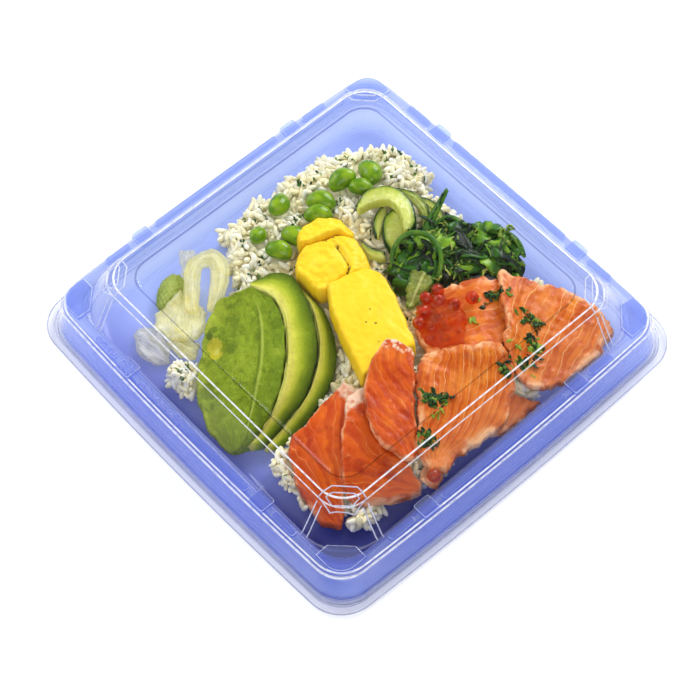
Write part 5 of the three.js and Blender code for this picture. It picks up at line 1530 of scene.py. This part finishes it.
SEAWEED_LEAVES = [
    {"points": [[8.3, 58.1], [12.8, 62.2], [18.6, 65], [24.6, 67.1]], "width": 9, "mark": 0.55},
    {"points": [[17.7, 51.8], [22.3, 55.3], [28, 58.6], [31, 61.5]], "width": 7, "mark": 0.75},
    {"points": [[4.7, 61.3], [7.3, 65.5], [13, 68.3]], "width": 5, "mark": 0.6},
    {"points": [[-8, 51.1], [-4, 54.7], [2.4, 55.8]], "width": 6, "mark": 0.35},
    {"points": [[0.3, 26.8], [1.9, 23.5], [5, 20.4]], "width": 7, "mark": 0.3},
    {"points": [[-2.1, 44.5], [2.6, 46.7], [9.2, 46.6]], "width": 6.5, "mark": 0.9},
    {"points": [[-3.9, 28], [-6, 34.3], [-7, 38.8]], "width": 4.5, "mark": 0.45},
    {"points": [[7.4, 47.8], [13.5, 45.8], [15.1, 40.4]], "width": 6, "mark": 0.2},
    {"points": [[3, 36], [8, 33], [12, 28]], "width": 5.5, "mark": 0.4},
    {"points": [[14, 56], [19, 58], [25, 63]], "width": 5, "mark": 0.25},
]


def build_seaweed():
    material = leafy_material("seaweed", rgb(8, 28, 2), rgb(46, 102, 8), rgb(134, 178, 36), gloss=0.24)
    frilly = leafy_material("seaweed_frill", rgb(34, 78, 12), rgb(96, 132, 30), rgb(184, 196, 92), 0.25, 0.3)
    place, faces = soft_core("seaweed", 1.0, 1.4, (0.7, 2.5), 7)
    # Painted shade: the core under the strands is coloured darker, as the shade in the gaps between them.
    under = leafy_material(
        "seaweed_shaded_core", rgb(4, 14, 1), rgb(16, 44, 4), rgb(44, 84, 12), gloss=0.45, coat=0.0
    )
    tone = 0.35 + 0.5 * rough(place[:, 0], place[:, 1], 4, 19, z=place[:, 2])
    make_piece("seaweed_core", place, faces, under, ["seaweed"], {"mark": tone})
    tree = tree_of("seaweed")
    random = np.random.default_rng(17)
    left = curve_table([[-8, 21.5], [-11, 33], [-9.5, 44], [-7, 54], [2, 63], [12, 69.5], [24, 70]])
    right = curve_table([[5, 18.5], [13.5, 33], [17.5, 42], [22, 50], [26, 57], [31.5, 63.5]])
    strands, frills = Heap(), Heap()
    for arc in SEAWEED_ARCS:
        line = on_curve(curve_table(arc["points"]), np.linspace(0, 1, 40))
        roll = 0.5 * np.sin(np.linspace(0, 5, 40) + arc["width"])
        strands.add(*ribbon(line, arc["width"] * 0.9, 1.2, roll), mark=0.6)
    steps = np.linspace(0, 1, 36)
    for k, leaf in enumerate(SEAWEED_LEAVES):
        line = on_curve(curve_table(leaf["points"]), steps)
        z = heights(tree, line[:, 0], line[:, 1])
        z = smoothed(filled(z[None]), 8)[0]
        lift = 0.9 + 0.7 * np.sin(7 * steps + k)
        width = leaf["width"] * (1 + 0.16 * np.sin(19 * steps + 2 * k) + 0.1 * np.sin(41 * steps + k))
        roll = 0.35 * np.sin(5 * steps + 1.7 * k)
        tone = leaf["mark"] + 0.15 * np.sin(13 * steps)
        corners, faces = ribbon(np.column_stack([line, z + lift]), width, 0.6, roll)
        strands.add(corners, faces, mark=np.repeat(tone, SIDES))
    placed = 0
    for _ in range(STRAND_TRIES):
        if placed >= STRAND_COUNT:
            break
        s, t = random.uniform(0.02, 0.98), random.uniform(0.05, 0.95)
        a, b = on_curve(left, s), on_curve(right, s)
        start = a + (b - a) * t
        heading = random.uniform(0, 2 * math.pi)
        length = random.uniform(12, 28)
        bend = random.uniform(-1.6, 1.6)
        steps = np.linspace(0, 1, 18)
        angle = heading + bend * steps
        line = walk(start, angle, length, len(steps))
        z = heights(tree, line[:, 0], line[:, 1])
        if np.isnan(z).sum() > 3:
            continue
        z = smoothed(filled(z[None]), 3)[0]
        arch = np.sin(math.pi * steps) * random.uniform(0.3, 1.8) - 0.9
        points = np.column_stack([line, z + arch])
        width = random.uniform(1.4, 5.0) * (1 + 0.12 * np.sin(20 * steps + heading))
        roll = random.uniform(-0.7, 0.7) + random.uniform(-1.3, 1.3) * steps
        mark = random.choice([0.05, 0.2, 0.4, 0.55, 0.8])
        strands.add(*ribbon(points, width, random.uniform(0.5, 0.8), roll), mark=mark)
        placed += 1
    for _ in range(FRILL_PLACES):
        s, t = random.uniform(0.2, 0.95), random.uniform(0.1, 0.95)
        a, b = on_curve(left, s), on_curve(right, s)
        x, y = a + (b - a) * t
        z = heights(tree, np.array([x]), np.array([y]))[0]
        if np.isnan(z):
            continue
        for _ in range(3):
            steps = np.linspace(0, 1, 14)
            turn = random.uniform(0, TURN) + steps * random.uniform(-3, 3)
            line = walk(np.array([x, y]), turn, random.uniform(2.5, 6.5) / len(steps))
            height = z + 0.3 + random.uniform(0, 1.4) * np.sin(math.pi * steps) + 0.35 * np.sin(11 * steps)
            width = random.uniform(0.8, 2.0) * (1 + 0.3 * np.sin(17 * steps))
            frill = ribbon(np.column_stack([line, height]), width, 0.3, 1.2 * np.sin(6 * steps))
            frills.add(*frill, mark=random.uniform(0.1, 1.0))
    strands.piece("seaweed_strands", material, ["seaweed"], "seaweed")
    frills.piece("seaweed_frills", frilly, ["seaweed"], "seaweed")


def build_leaf():
    shade = Shade("leaf")
    _, t, away = shade.rails()
    cloudy = shade.noise(4, 4, 0.65)
    rib = shade.span(shade.abs(shade.less(t, 0.5)), 0.1, 0.02)
    veins = shade.span(shade.noise(1.6, 4, 0.6, distortion=1.2), 0.52, 0.6)
    colour = shade.ramp(cloudy, [(0.25, rgb(84, 98, 14)), (0.5, rgb(118, 130, 30)), (0.8, rgb(172, 176, 78))])
    colour = shade.mix(shade.times(rib, 0.6), colour, rgb(206, 210, 130))
    colour = shade.mix(shade.times(veins, 0.3), colour, rgb(196, 206, 118))
    colour = shade.mix(shade.span(away, 1.0, 0.2, 0.0, 0.5), colour, rgb(84, 130, 30))
    height = shade.plus(shade.times(veins, 0.6), shade.noise(0.8, 3))
    skin = shade.skin(colour, 0.3, shade.bump(height, 0.6, 0.4), soft=0.25, radius=(0.5, 1.0, 0.3), coat=0.3)

    def form(s, t, away, x, y):
        return 0.8 * rough(x, y, 3.5, 111) + 0.5 * np.sin(14 * s + 3 * t) * abs(t - 0.5) * 2

    rails = {
        "left": [[1.5, 30, 17], [5.5, 24, 17.5], [11.5, 15.5, 16.5]],
        "right": [[11, 33, 17], [14, 26, 17.5], [15.5, 18.5, 16.5]],
    }
    slab(
        "lettuce_leaf", shade.done(skin), **rails, slot="leaf", corner=0.4, edge=0.9, form=form, ragged=1.3,
        ragged_size=3,
    )


HERBS = [
    (34.5, 43, 70), (52.8, 46.8, 30), (63.0, 30, 70), (66, 23.5, 20),
    (53.5, -8.5, 15), (55, -6, 60), (63.5, -21.0, 30), (61.5, 40, -20),
]
SPRING_ONION = [(61.6, 41.1), (72.5, 31.0), (57.5, 33), (36, 30), (59.5, -13)]
HERB_NODES = ["salmon_right_2", "salmon_right_3", "salmon_right_5"]


def build_herbs():
    material = leafy_material("herb", rgb(12, 44, 6), rgb(46, 96, 16), rgb(152, 178, 48), 0.1, 0.4, 0.1)
    tree = tree_of(*HERB_NODES)
    random = np.random.default_rng(23)
    heap = Heap()
    steps = np.linspace(0, 1, 11)

    def lay(start, turn, length, width, lift, mark):
        """One scrap along a turning line over the fish."""
        line = walk(start, turn, length, len(steps))
        z = heights(tree, line[:, 0], line[:, 1])
        if np.isnan(z).any():
            return
        height = z + 0.12 + lift * np.sin(math.pi * steps)
        roll = random.uniform(-0.6, 0.6) + steps
        heap.add(*ribbon(np.column_stack([line, height]), width, 0.22, roll), mark=mark)

    for x, y, heading in HERBS:
        axis = np.array([math.cos(math.radians(heading)), math.sin(math.radians(heading))])
        for _ in range(30):
            start = np.array([x, y]) + axis * random.uniform(-4.0, 4.0) + random.normal(0, 1.0, 2)
            turn = random.uniform(0, TURN) + steps * random.uniform(-4, 4)
            width = random.uniform(1.1, 2.4) * np.sin(math.pi * np.clip(steps, 0.12, 0.9))
            length, lift = random.uniform(2.0, 4.6), random.uniform(0, 0.6)
            lay(start, turn, length, width, lift, random.uniform(0, 0.9) ** 1.5)
        for _ in range(2):
            start = np.array([x, y]) + axis * random.uniform(-2.0, 2.0)
            turn = random.uniform(0, TURN) + steps * random.choice([-5.6, 5.6])
            lay(start, turn, random.uniform(6, 9), 0.55, 0.3, 0.8)
    for x, y in SPRING_ONION:
        for _ in range(3):
            start = np.array([x, y]) + random.normal(0, 0.6, 2)
            turn = random.uniform(0, TURN) + steps * random.uniform(-2, 2)
            lay(start, turn, random.uniform(2, 4), random.uniform(1.2, 2.0), 0.3, random.uniform(0.75, 1.0))
    heap.piece("salmon_herbs", material, HERB_NODES, "seaweed")


# ---------------------------------------------------------------- roe

ROE_CLUSTER = [
    {"at": (17.3, 22.4), "sink": 0.3}, {"at": (18.0, 28.0), "sink": 1.0}, {"at": (21.6, 17.2), "sink": 0.7},
    {"at": (22.3, 24.6), "sink": 0.6}, {"at": (24.2, 12.2), "sink": 0.5}, {"at": (26.4, 20.0), "sink": 2.2},
    {"at": (27.0, 28.5), "sink": 2.4}, {"at": (28.6, 14.4), "sink": 1.9}, {"at": (31.6, 11.4), "sink": 1.4},
    {"at": (32.0, 19.2), "sink": 2.4}, {"at": (35.4, 15.8), "sink": 1.6}, {"at": (37.6, 21.6), "sink": 2.0},
]
STRAY_EGGS = 2


def glassy_material(name, tint, share, roughness, straight):
    """A wet translucent skin: gloss over a tinted see-through body with some colour of its own."""
    shade = Shade(name)
    cloudy = shade.noise(5, 3, 0.6)
    fine = shade.noise(1.4, 3, 0.5)
    normal = shade.bump(fine, 0.3, 0.5)
    colour = shade.mix(shade.span(cloudy, 0.35, 0.65), tint[0], tint[1])
    through = shade.node("ShaderNodeBsdfTransparent", {"Color": tint[2]})
    body = shade.skin(colour, 0.3, normal, soft=0.2, radius=(1.0, 0.3, 0.1), depth=1.5, level=0.2)
    inside = shade.node("ShaderNodeMixShader", {0: share, 1: through.outputs[0], 2: body})
    gloss = shade.node("ShaderNodeBsdfGlossy", {"Roughness": roughness, "Normal": normal})
    fresnel = shade.sheen(straight, normal)
    mixed = shade.node("ShaderNodeMixShader", {0: fresnel, 1: inside.outputs[0], 2: gloss.outputs[0]})
    return shade.done(mixed.outputs[0])


def core_material():
    shade = Shade("roe_core")
    tone = shade.noise(3, 3, 0.6)
    colour = shade.ramp(tone, [(0.35, rgb(132, 16, 0)), (0.5, rgb(176, 34, 0)), (0.65, rgb(212, 72, 0))])
    bumps = shade.bump(shade.noise(1.0, 3), 0.3, 0.3)
    return shade.done(shade.skin(colour, 0.25, bumps, soft=0.2, radius=(1, 0.3, 0.1), coat=0.3))


def build_roe():
    shell_tints = (rgb(186, 62, 0), rgb(226, 104, 2), rgb(255, 168, 56))
    jelly_tints = (rgb(176, 66, 0), rgb(220, 112, 4), rgb(255, 190, 92))
    shell = glassy_material("roe_shell", shell_tints, 0.22, 0.03, 0.03)
    jelly = glassy_material("roe_jelly", jelly_tints, 0.28, 0.06, 0.015)
    core = core_material()
    rails = {
        "left": [[21, 12, 21], [16.5, 19.5, 21], [17, 27, 21.5], [23, 31.5, 22]],
        "right": [[31, 7.5, 21], [38, 12, 22], [42, 19.5, 22.5], [37, 27, 22]],
    }

    def form(s, t, away, x, y):
        swell = 0.5 * rough(x, y, 4, 121) + 0.2 * rough(x, y, 1.8, 122)
        for egg in ROE_CLUSTER:
            apart = np.hypot(x - egg["at"][0], y - egg["at"][1])
            swell = swell + (0.5 + 0.25 * egg["sink"]) * np.exp(-((apart / 2.0) ** 2))
        return swell

    slab(
        "roe", jelly, **rails, slot="roe", corner=0.6, edge=4.5, square=1.8, form=form, ragged=2.2,
        ragged_size=4, settle=16, drop=1.2, size=(72, 60),
    )
    unit, faces = ball(24, 18)
    tree = tree_of("roe")
    shells, cores = Heap(), Heap()
    random = np.random.default_rng(3)
    for egg in ROE_CLUSTER:
        x, y = egg["at"]
        top = heights(tree, np.array([x, x + 0.8, x - 0.8]), np.array([y, y, y]))
        z = np.nanmax(top) - EGG_RADIUS * 0.98 - egg["sink"]
        shells.add(unit * EGG_RADIUS * np.array([1, 0.97, 0.93]) + (x, y, z), faces)
        away = random.uniform(-0.5, 0.5, 3)
        cores.add(unit * random.uniform(1.3, 1.9) + away * 1.4 + (x, y, z + 0.5), faces)
    shells.piece("roe_eggs", shell, ["roe"], "roe")
    cores.piece("roe_cores", core, ["roe"], "roe")
    for i in range(STRAY_EGGS):
        node = f"roe_egg_{i + 1}"
        low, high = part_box(node)
        middle = (np.array(low) + np.array(high)) / 2 / MM
        make_piece(f"{node}_shell", unit * EGG_RADIUS * 0.99 + middle, faces, shell, [node])
        make_piece(f"{node}_core", unit * 1.5 + middle + (0.4, 0.3, -0.2), faces, core, [node])


# ---------------------------------------------------------------- ginger, wasabi

GINGER = [
    {
        "left": [[-58, -68.7, 3], [-50.8, -71.7, 3], [-44, -70.9, 3], [-38.1, -67.7, 3]],
        "right": [[-60.2, -65.6, 3], [-58, -60.9, 3.5], [-52.3, -59, 4], [-43, -61, 4]],
    },
    {
        "left": [[-45, -61.6, 5], [-37.5, -61.4, 6], [-31.1, -59.3, 7]],
        "right": [[-46, -57.5, 6.5], [-40.5, -54.3, 7.5], [-34.5, -51.7, 8.5]],
    },
    {
        "left": [[-60, -42.6, 9], [-57.5, -51, 7.5], [-56.5, -59, 5.5], [-50, -61, 5.5], [-42.5, -60, 7]],
        "right": [[-51, -41, 10], [-46, -41.6, 10.5], [-40.8, -44, 11], [-37, -47.5, 11], [-36, -53, 9.5]],
    },
    {
        "left": [[-73, -31, 13], [-68, -35, 10], [-63.5, -39, 9.5]],
        "right": [[-69, -26.5, 13], [-66, -29, 11.5], [-62.8, -35, 10]],
    },
    {
        "left": [
            [-49, -49.5, 12], [-57.2, -42, 13], [-64.4, -34.6, 14], [-65.2, -27, 14.5], [-62, -21, 14.5],
            [-54.5, -20.8, 14.5], [-48, -25.2, 14.5], [-42.3, -32.8, 14], [-38.4, -41, 13.5],
        ],
        "right": [
            [-43.5, -45, 12], [-51.2, -38.2, 13], [-56.8, -32.8, 14], [-58.4, -30, 14.5],
            [-57.2, -28.6, 14.5], [-53.4, -30.8, 14.5], [-49.6, -34.6, 14.5],
            [-46.2, -38.4, 14], [-43, -42.2, 13.5],
        ],
    },
]


def ginger_material(name, colours, clear):
    shade = Shade(name)
    s, t, away = shade.rails()
    cloudy = shade.noise(6, 4, 0.6)
    fibres = shade.vector(shade.times(s, 3.0), shade.times(t, 18.0), 0.0)
    fibre = shade.noise(1.0, 4, 0.65, at=fibres)
    colour = shade.ramp(cloudy, [(0.25, colours[0]), (0.5, colours[1]), (0.8, colours[2])])
    colour = shade.mix(shade.span(fibre, 0.5, 0.7, 0.0, 0.7), colour, rgb(255, 253, 232))
    colour = shade.mix(shade.span(fibre, 0.45, 0.28, 0.0, 0.5), colour, colours[3])
    skin = shade.skin(
        colour, shade.span(cloudy, 0.3, 0.7, 0.24, 0.4), shade.bump(fibre, 0.8, 0.5),
        soft=0.2, radius=(1.0, 0.9, 0.5), depth=1.2, coat=0.3,
    )
    glow = shade.node("ShaderNodeBsdfTranslucent", {"Color": colour})
    body = shade.node("ShaderNodeMixShader", {0: 0.2, 1: skin, 2: glow.outputs[0]})
    through = shade.node("ShaderNodeBsdfTransparent", {"Color": rgb(255, 252, 232)})
    thin = shade.span(away, 3.2, 0.0, 0.0, 0.42)
    seen = shade.plus(shade.times(shade.span(fibre, 0.55, 0.4, 0.6, 1.3), clear), thin, clamp=True)
    mixed = shade.node("ShaderNodeMixShader", {0: seen, 1: body.outputs[0], 2: through.outputs[0]})
    return shade.done(mixed.outputs[0])


def build_ginger_and_wasabi():
    yellow = ginger_material(
        "ginger_yellow", (rgb(250, 240, 146), rgb(255, 250, 186), rgb(255, 254, 224), rgb(226, 212, 96)), 0.2
    )
    white = ginger_material(
        "ginger_white", (rgb(244, 241, 232), rgb(252, 250, 244), rgb(255, 254, 250), rgb(232, 226, 216)), 0.4
    )
    skins = [white, yellow, yellow, white, yellow]

    def form(s, t, away, x, y):
        folds = 0.8 * np.sin(13 * t + 3 * s + 1.5 * rough(x, y, 9, 133)) * bump_step(away, 0, 2)
        return folds + 0.7 * rough(x, y, 6, 131) + 0.25 * rough(x, y, 2, 132)

    for i, rails in enumerate(GINGER):
        arch = i == len(GINGER) - 1
        slab(
            f"ginger_{i + 1}", skins[i], **rails, slot="ginger", corner=0.4, edge=0.8, form=form,
            seed=140 + i, ragged=0.4 if arch else 1.3, ragged_size=4.5,
            size=(120, 34) if arch else (64, 56), settle=3,
        )

    shade = Shade("wasabi")
    cloudy = shade.noise(3.5, 4, 0.65)
    fine = shade.noise(0.6, 5, 0.75)
    tones = [(0.25, rgb(136, 158, 56)), (0.5, rgb(172, 188, 88)), (0.8, rgb(204, 212, 128))]
    colour = shade.ramp(cloudy, tones)
    height = shade.plus(fine, shade.times(shade.cells(1.4), 0.6))
    skin = shade.skin(colour, 0.6, shade.bump(height, 0.8, 0.6), soft=0.2, radius=(0.6, 1.0, 0.4))
    material = shade.done(skin)
    unit, faces = ball(64, 44)
    unit = unit[:, [1, 2, 0]]
    knob = 1 + 0.07 * np.sin(2.3 * 9.5 * unit[:, 0]) * np.cos(2.9 * 6 * unit[:, 1] + 4.2 * unit[:, 2])
    grainy = 1 + 0.04 * rough(unit[:, 0] * 9, unit[:, 1] * 6, 2.2, 5, z=unit[:, 2] * 4)
    lump = unit * (9.5, 6, 4.2) * (knob * grainy)[:, None]
    lump[:, 2] = np.maximum(lump[:, 2], -3)
    lump = lump @ spin(-55, "Z").T + (-62.5, -44.5, FLOOR_Z + GAP + 3)
    make_piece("wasabi_lump", lump, faces, material, ["wasabi"])


# ---------------------------------------------------------------- rice


def rice_material():
    shade = Shade("rice")
    closed, tone = shade.mark("closed"), shade.mark("tone")
    cloudy = shade.noise(1.6, 3, 0.6)
    broad = shade.noise(11, 2, 0.5)
    fine = shade.noise(0.5, 3, 0.5)
    pale = shade.scaled(cloudy, 0.5, tone)
    tones = [(0.2, rgb(244, 235, 188)), (0.5, rgb(254, 249, 214)), (0.8, rgb(255, 255, 242))]
    colour = shade.ramp(pale, tones)
    colour = shade.mix(shade.span(broad, 0.48, 0.68, 0.0, 0.35), colour, rgb(250, 234, 166))
    # Painted shade: corners closed in by other grains are darkened, as shade in the crevices.
    colour = shade.mix(shade.span(closed, 0.3, 1.0, 0.0, 0.45), colour, rgb(190, 172, 108))
    roughness = shade.span(fine, 0.3, 0.7, 0.2, 0.34)
    skin = shade.skin(
        colour, roughness, shade.bump(fine, 0.25, 0.2), soft=0.2, radius=(1.0, 0.9, 0.66), depth=0.8, coat=0.5
    )
    return shade.done(skin)


GRAIN_COUNT, GRAIN_TRIES = 1500, 16000
GRAIN_SPACING = 1.5
GRAIN_SKY, GRAIN_CLEARANCE = 7.0, 1.2
HERB_SPOTS = 80


def laid_grains(random, obstacles, points, facing):
    """Loose grains laid on the bed wherever nothing lies over it: corners, faces, ways out and tones."""
    unit, faces = ball(8, 7)
    grains, ways, centres = Heap(), [], []
    clump = rough(points[:, 0], points[:, 1], 7, 47, z=points[:, 2])
    for point, out, swell in zip(points, facing, clump):
        if len(centres) >= GRAIN_COUNT:
            break
        centre = point + out * (random.uniform(-0.8, 0.8) + 1.5 * swell)
        if centres and np.min(np.sum((np.array(centres) - centre) ** 2, 1)) < GRAIN_SPACING**2:
            continue
        way = Vector(out) * 0.6 + Vector((0, 0, 0.8))
        if obstacles.ray_cast(Vector(point) + Vector(out) * 0.4, way.normalized(), GRAIN_SKY)[0]:
            continue
        if obstacles.find_nearest(Vector(point) + Vector(out) * 0.9, GRAIN_CLEARANCE)[0]:
            continue
        shape = unit.copy()
        shape[:, 1:] *= (1 + 0.1 * shape[:, :1] ** 2) * (1 + random.uniform(-0.16, 0.16) * shape[:, :1])
        shape[:, 1] += 0.16 * shape[:, 0] ** 2
        shape *= np.array(GRAIN) * 0.5 * random.uniform(0.82, 1.08)
        tilt = spin(random.normal(0, 42), "Y")
        turn = np.array(Vector((0, 0, 1)).rotation_difference(Vector(out)).to_matrix())
        whirl = spin(random.uniform(0, 360), "Z")
        shape = shape @ spin(random.uniform(0, 360), "X").T @ tilt.T @ whirl.T @ turn.T
        ways.append(shape / np.linalg.norm(shape, axis=1)[:, None])
        shape = shape + centre
        shape[:, 2] += max(0, FLOOR_Z + 0.1 - shape[:, 2].min())
        grains.add(shape, faces, mark=random.uniform(0, 0.5))
        centres.append(centre)
    return grains, ways


def closed_in(corners, ways, faces, reach=2.6):
    """The share of short rays out of each corner, bent to the sky, that meet the heap again."""
    tree = BVHTree.FromPolygons(corners.tolist(), faces)
    bends = [(0, 0, 0.6), (0.9, 0, 0.4), (-0.9, 0, 0.4), (0, 0.9, 0.4), (0, -0.9, 0.4)]
    met = np.zeros(len(corners))
    for bend in bends:
        rays = ways * 0.8 + bend
        for k, (start, ray) in enumerate(zip(corners + ways * 0.15, rays)):
            if tree.ray_cast(Vector(start), Vector(ray).normalized(), reach)[0]:
                met[k] += 1 / len(bends)
    return met


def build_rice():
    place, core_faces = soft_core("rice", 1.4, 0.6, (0.6, 3.0), 9)
    others = [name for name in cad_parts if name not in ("rice", "lid")]
    obstacles = tree_of(*others)
    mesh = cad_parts["rice"].data
    mesh.calc_loop_triangles()
    bed = np.array([v.co for v in mesh.vertices]) / MM
    triangles = np.array([list(t.vertices) for t in mesh.loop_triangles])
    a, b, c = (bed[triangles[:, k]] for k in range(3))
    normal = np.cross(b - a, c - a)
    size = np.linalg.norm(normal, axis=1) / 2
    normal /= np.maximum(2 * size, 1e-9)[:, None]
    size[normal[:, 2] < -0.3] = 0
    random = np.random.default_rng(29)
    pick = random.choice(len(size), GRAIN_TRIES, p=size / size.sum())
    u, v = random.random((2, len(pick)))
    fold = u + v > 1
    u[fold], v[fold] = 1 - u[fold], 1 - v[fold]
    points = a[pick] + (b - a)[pick] * u[:, None] + (c - a)[pick] * v[:, None]
    facing = normal[pick]
    heap, ways = laid_grains(random, obstacles, points, facing)
    heap.add(place, core_faces, mark=0.1)
    ways.append(np.tile([0.0, 0.0, 1.0], (len(place), 1)))
    place, faces = np.concatenate(heap.corners), heap.faces
    # closed carries the painted crevice shade.
    marks = {"closed": closed_in(place, np.concatenate(ways), faces), "tone": np.concatenate(heap.marks)}
    make_piece("rice_grains", place, faces, rice_material(), ["rice"], marks)

    surface = BVHTree.FromPolygons(place.tolist(), faces)
    flecks = Heap()
    herb = leafy_material("rice_herb", rgb(20, 52, 12), rgb(52, 96, 24), rgb(120, 150, 56), 0.1, 0.4)
    spots = [
        k for k in range(len(points))
        if points[k][2] > 8 and facing[k][2] > 0.3 and not obstacles.find_nearest(Vector(points[k]), 1.5)[0]
        and not obstacles.ray_cast(Vector(points[k]), Vector((0, 0, 1)), 20)[0]
    ]
    for k in spots[:: max(1, len(spots) // HERB_SPOTS)]:
        for _ in range(2):
            steps = np.linspace(0, 1, 7)
            turn = random.uniform(0, TURN) + steps * random.uniform(-2, 2)
            line = walk(points[k][:2], turn, random.uniform(0.15, 0.4))
            top = filled(heights(surface, line[:, 0], line[:, 1])[None])[0]
            width = random.uniform(0.9, 2.0) * np.sin(math.pi * np.clip(steps, 0.15, 0.9))
            scrap = ribbon(np.column_stack([line, top + 0.15]), width, 0.2, random.uniform(-1, 1) + steps)
            flecks.add(*scrap, mark=random.random())
    flecks.piece("rice_herbs", herb, ["rice"], "rice")


# ---------------------------------------------------------------- stage, light and camera


FLOOR_REACH = 4000
FLOOR_DROP = 0.2
SKY_STRENGTH = 0.46
# Name, place and side in metres, and power in watts.
LAMPS = [
    ("key", (-0.25, 1.0, 0.75), 0.7, 14),
    ("fill", (-1.0, -0.45, 0.7), 0.8, 7.5),
    ("front", (0.9, -0.6, 0.95), 0.9, 6),
]
# The lid and the tray are seen through many layers of clear sheet.
CLEAR_LAYERS = 24


def build_stage():
    reach = FLOOR_REACH * MM
    mesh = bpy.data.meshes.new("floor")
    corners = [(x * reach, y * reach, 0) for x, y in ((-1, -1), (1, -1), (1, 1), (-1, 1))]
    mesh.from_pydata(corners, [], [[0, 1, 2, 3]])
    floor = bpy.data.objects.new("floor", mesh)
    floor.location.z = -FLOOR_DROP * MM
    shade = Shade("floor")
    speckle = shade.noise(40, 2)
    skin = shade.skin(shade.mix(speckle, rgb(250, 250, 250), rgb(253, 253, 253)), 0.8)
    lit = shade.node("ShaderNodeEmission", {"Strength": 0.2})
    lit_table = shade.node("ShaderNodeAddShader", {0: skin, 1: lit.outputs[0]})
    mesh.materials.append(shade.done(lit_table.outputs[0]))
    bpy.context.scene.collection.objects.link(floor)


def lamp(name, place, size, power):
    """A square softbox at a place in metres, turned to the tray."""
    light = bpy.data.lights.new(name, "AREA")
    light.shape = "RECTANGLE"
    light.size = light.size_y = size
    light.energy = power
    holder = bpy.data.objects.new(name, light)
    holder.location = place
    holder.rotation_euler = (Vector((0, 0, 0.01)) - Vector(place)).to_track_quat("-Z", "Y").to_euler()
    bpy.context.scene.collection.objects.link(holder)


def build_light():
    world = bpy.data.worlds.new("studio")
    world.use_nodes = True
    sky = world.node_tree.nodes["Background"].inputs
    sky["Color"].default_value = (1, 1, 1, 1)
    sky["Strength"].default_value = SKY_STRENGTH
    bpy.context.scene.world = world
    for name, place, size, power in LAMPS:
        lamp(name, place, size, power)


CAMERA = {"azimuth": 48.95, "elevation": 57.96, "roll": -1.41, "distance": 0.90643, "height": 0.001}
# The photo's frame, and a camera fitted to the tray's corners in it.
FRAME_PIXELS = 700
FOCAL_PIXELS = 2238.78
SENSOR = 36.0
SHIFT_PIXELS = (-5.74, -18.4)


def build_camera():
    a, e, r = (math.radians(CAMERA[key]) for key in ("azimuth", "elevation", "roll"))
    back = Vector((math.sin(a) * math.cos(e), -math.cos(a) * math.cos(e), math.sin(e)))
    right = Vector((math.cos(a), math.sin(a), 0))
    up = back.cross(right)
    across = right * math.cos(r) + up * math.sin(r)
    upward = up * math.cos(r) - right * math.sin(r)
    data = bpy.data.cameras.new("view")
    data.sensor_width = SENSOR
    data.lens = FOCAL_PIXELS / FRAME_PIXELS * SENSOR
    data.shift_x = SHIFT_PIXELS[0] / FRAME_PIXELS
    data.shift_y = SHIFT_PIXELS[1] / FRAME_PIXELS
    camera = bpy.data.objects.new("view", data)
    matrix = Matrix((across, upward, back)).transposed().to_4x4()
    matrix.translation = Vector((0, 0, CAMERA["height"])) + back * CAMERA["distance"]
    camera.matrix_world = matrix
    bpy.context.scene.collection.objects.link(camera)
    bpy.context.scene.camera = camera


build_stage()
build_light()
build_camera()
build_plastics()
build_omelette()
build_avocado()
build_salmon()
build_cucumber_and_beans()
build_seaweed()
build_leaf()
build_herbs()
build_roe()
build_ginger_and_wasabi()
build_rice()

bpy.context.scene.view_settings.view_transform = "Standard"
bpy.context.scene.cycles.transparent_max_bounces = CLEAR_LAYERS
